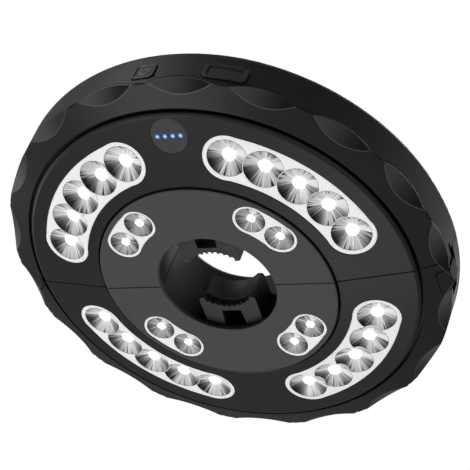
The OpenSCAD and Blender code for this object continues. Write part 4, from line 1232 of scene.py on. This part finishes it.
@dataclass(frozen=True)
class Lamp:
    """One soft area lamp of the studio.

    Attributes:
        name: its name.
        place: position in metres.
        size: diameter in metres.
        power: watts.
        aim: the point that it faces, in metres.
    """

    name: str
    place: tuple[float, float, float]
    size: float
    power: float
    aim: tuple[float, float, float] = (0.0, 0.0, 0.015)

    def build(self) -> None:
        """Makes the lamp."""
        data = bpy.data.lights.new(self.name, "AREA")
        data.shape = "DISK"
        data.size = self.size
        data.energy = self.power
        made = bpy.data.objects.new(self.name, data)
        made.location = self.place
        made.rotation_mode = "QUATERNION"
        made.rotation_quaternion = (Vector(self.aim) - Vector(self.place)).to_track_quat("-Z", "Y")
        bpy.context.scene.collection.objects.link(made)


class Studio:
    """Floor, backdrop, lamps, world and camera. Its lengths are in metres."""

    LAMPS = (
        Lamp("key", (-0.55, -0.75, 0.35), 0.5, 6.5),
        Lamp("left", (-1.0, 0.1, -0.12), 0.5, 0.8),
        Lamp("under", (-0.35, -0.25, -0.7), 0.5, 2.4),
        Lamp("under_far", (0.0, 0.45, -0.75), 0.5, 1.2),
        Lamp("fill", (0.9, -0.5, -0.1), 0.6, 1.5),
        Lamp("top", (0.1, 0.3, 1.1), 0.8, 12.0),
        Lamp("behind", (0.7, 0.9, 0.5), 0.5, 6.0),
    )
    # radius and height of the turned floor, wall and roof that close round the lamp
    PROFILE = ((0.001, -1.8), (6.0, -1.8), (6.6, -1.0), (6.8, 1.0), (6.8, 7.0), (3.0, 9.0), (0.001, 9.3))
    PROFILE_STEPS = 64
    PALE = (0.8, 0.8, 0.8, 1)
    FLOOR_ROUGHNESS = 0.9
    WHITE = (1, 1, 1, 1)
    # how much of the white background shows in glossy black plastic, which stays dark in the photo
    GLOSSY_SHARE = 0.2
    WORLD_STRENGTH = 0.6
    LENS = 118.0
    SENSOR = 36.0
    CLIP = (0.01, 50.0)
    EYE = (0.26948, -0.42081, -0.46276)
    # the camera's axes, from the points that it was fitted to
    RIGHT = (0.922676, 0.27606479, 0.26917881)
    DOWN = (-0.03396522, 0.75360051, -0.6564546)
    AHEAD = (-0.38407729, 0.59655218, 0.70470571)

    def build(self) -> None:
        """Sets the whole stage."""
        self._floor()
        self._world()
        for lamp in self.LAMPS:
            lamp.build()
        self._camera()
        bpy.context.scene.view_settings.view_transform = "Standard"

    def _pale(self) -> bpy.types.Material:
        """A plain pale material that is white to the camera, through clear parts and, in part, in gloss."""
        made = bpy.data.materials.new("studio_pale")
        made.use_nodes = True
        tree = made.node_tree
        shader = tree.nodes["Principled BSDF"].inputs
        shader["Base Color"].default_value = self.PALE
        shader["Roughness"].default_value = self.FLOOR_ROUGHNESS
        shader["Emission Color"].default_value = self.WHITE
        ray = tree.nodes.new("ShaderNodeLightPath").outputs
        glossy = calc(tree, "MULTIPLY", ray["Is Glossy Ray"], self.GLOSSY_SHARE)
        seen = calc(tree, "MAXIMUM", ray["Is Camera Ray"], ray["Is Transmission Ray"])
        tree.links.new(calc(tree, "MAXIMUM", seen, glossy), shader["Emission Strength"])
        return made

    def _floor(self) -> None:
        """A wide floor well below the lamp and a wall round it."""
        mesh = MeshBuilder("studio_floor")
        mesh.rings([
            [mesh.point(Vector((r * math.cos(t), r * math.sin(t), z))) for t in full_turn(self.PROFILE_STEPS)]
            for r, z in self.PROFILE
        ])
        mesh.build(self._pale())

    def _world(self) -> None:
        """A pale even surrounding."""
        world = bpy.data.worlds.new("studio_world")
        world.use_nodes = True
        background = world.node_tree.nodes["Background"].inputs
        background["Color"].default_value = self.WHITE
        background["Strength"].default_value = self.WORLD_STRENGTH
        bpy.context.scene.world = world

    def _camera(self) -> None:
        """The camera that sees the lamp from below."""
        data = bpy.data.cameras.new("camera")
        data.sensor_width = self.SENSOR
        data.lens = self.LENS
        data.clip_start, data.clip_end = self.CLIP
        made = bpy.data.objects.new("camera", data)
        axes = (Vector(self.RIGHT), -Vector(self.DOWN), -Vector(self.AHEAD))
        turn = Matrix(axes).transposed().to_4x4()
        turn.translation = Vector(self.EYE)
        made.matrix_world = turn
        bpy.context.scene.collection.objects.link(made)
        bpy.context.scene.camera = made


def main() -> None:
    """Builds everything in order."""
    logging.basicConfig(level=logging.INFO, format="%(message)s")
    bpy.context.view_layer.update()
    Housing().build()
    Lights().build()
    Indicator().build()
    PowerMark().build()
    for half in Half:
        JawSpring(half).build()
    JumperWires().build()
    Studio().build()


if __name__ == "__main__":
    main()
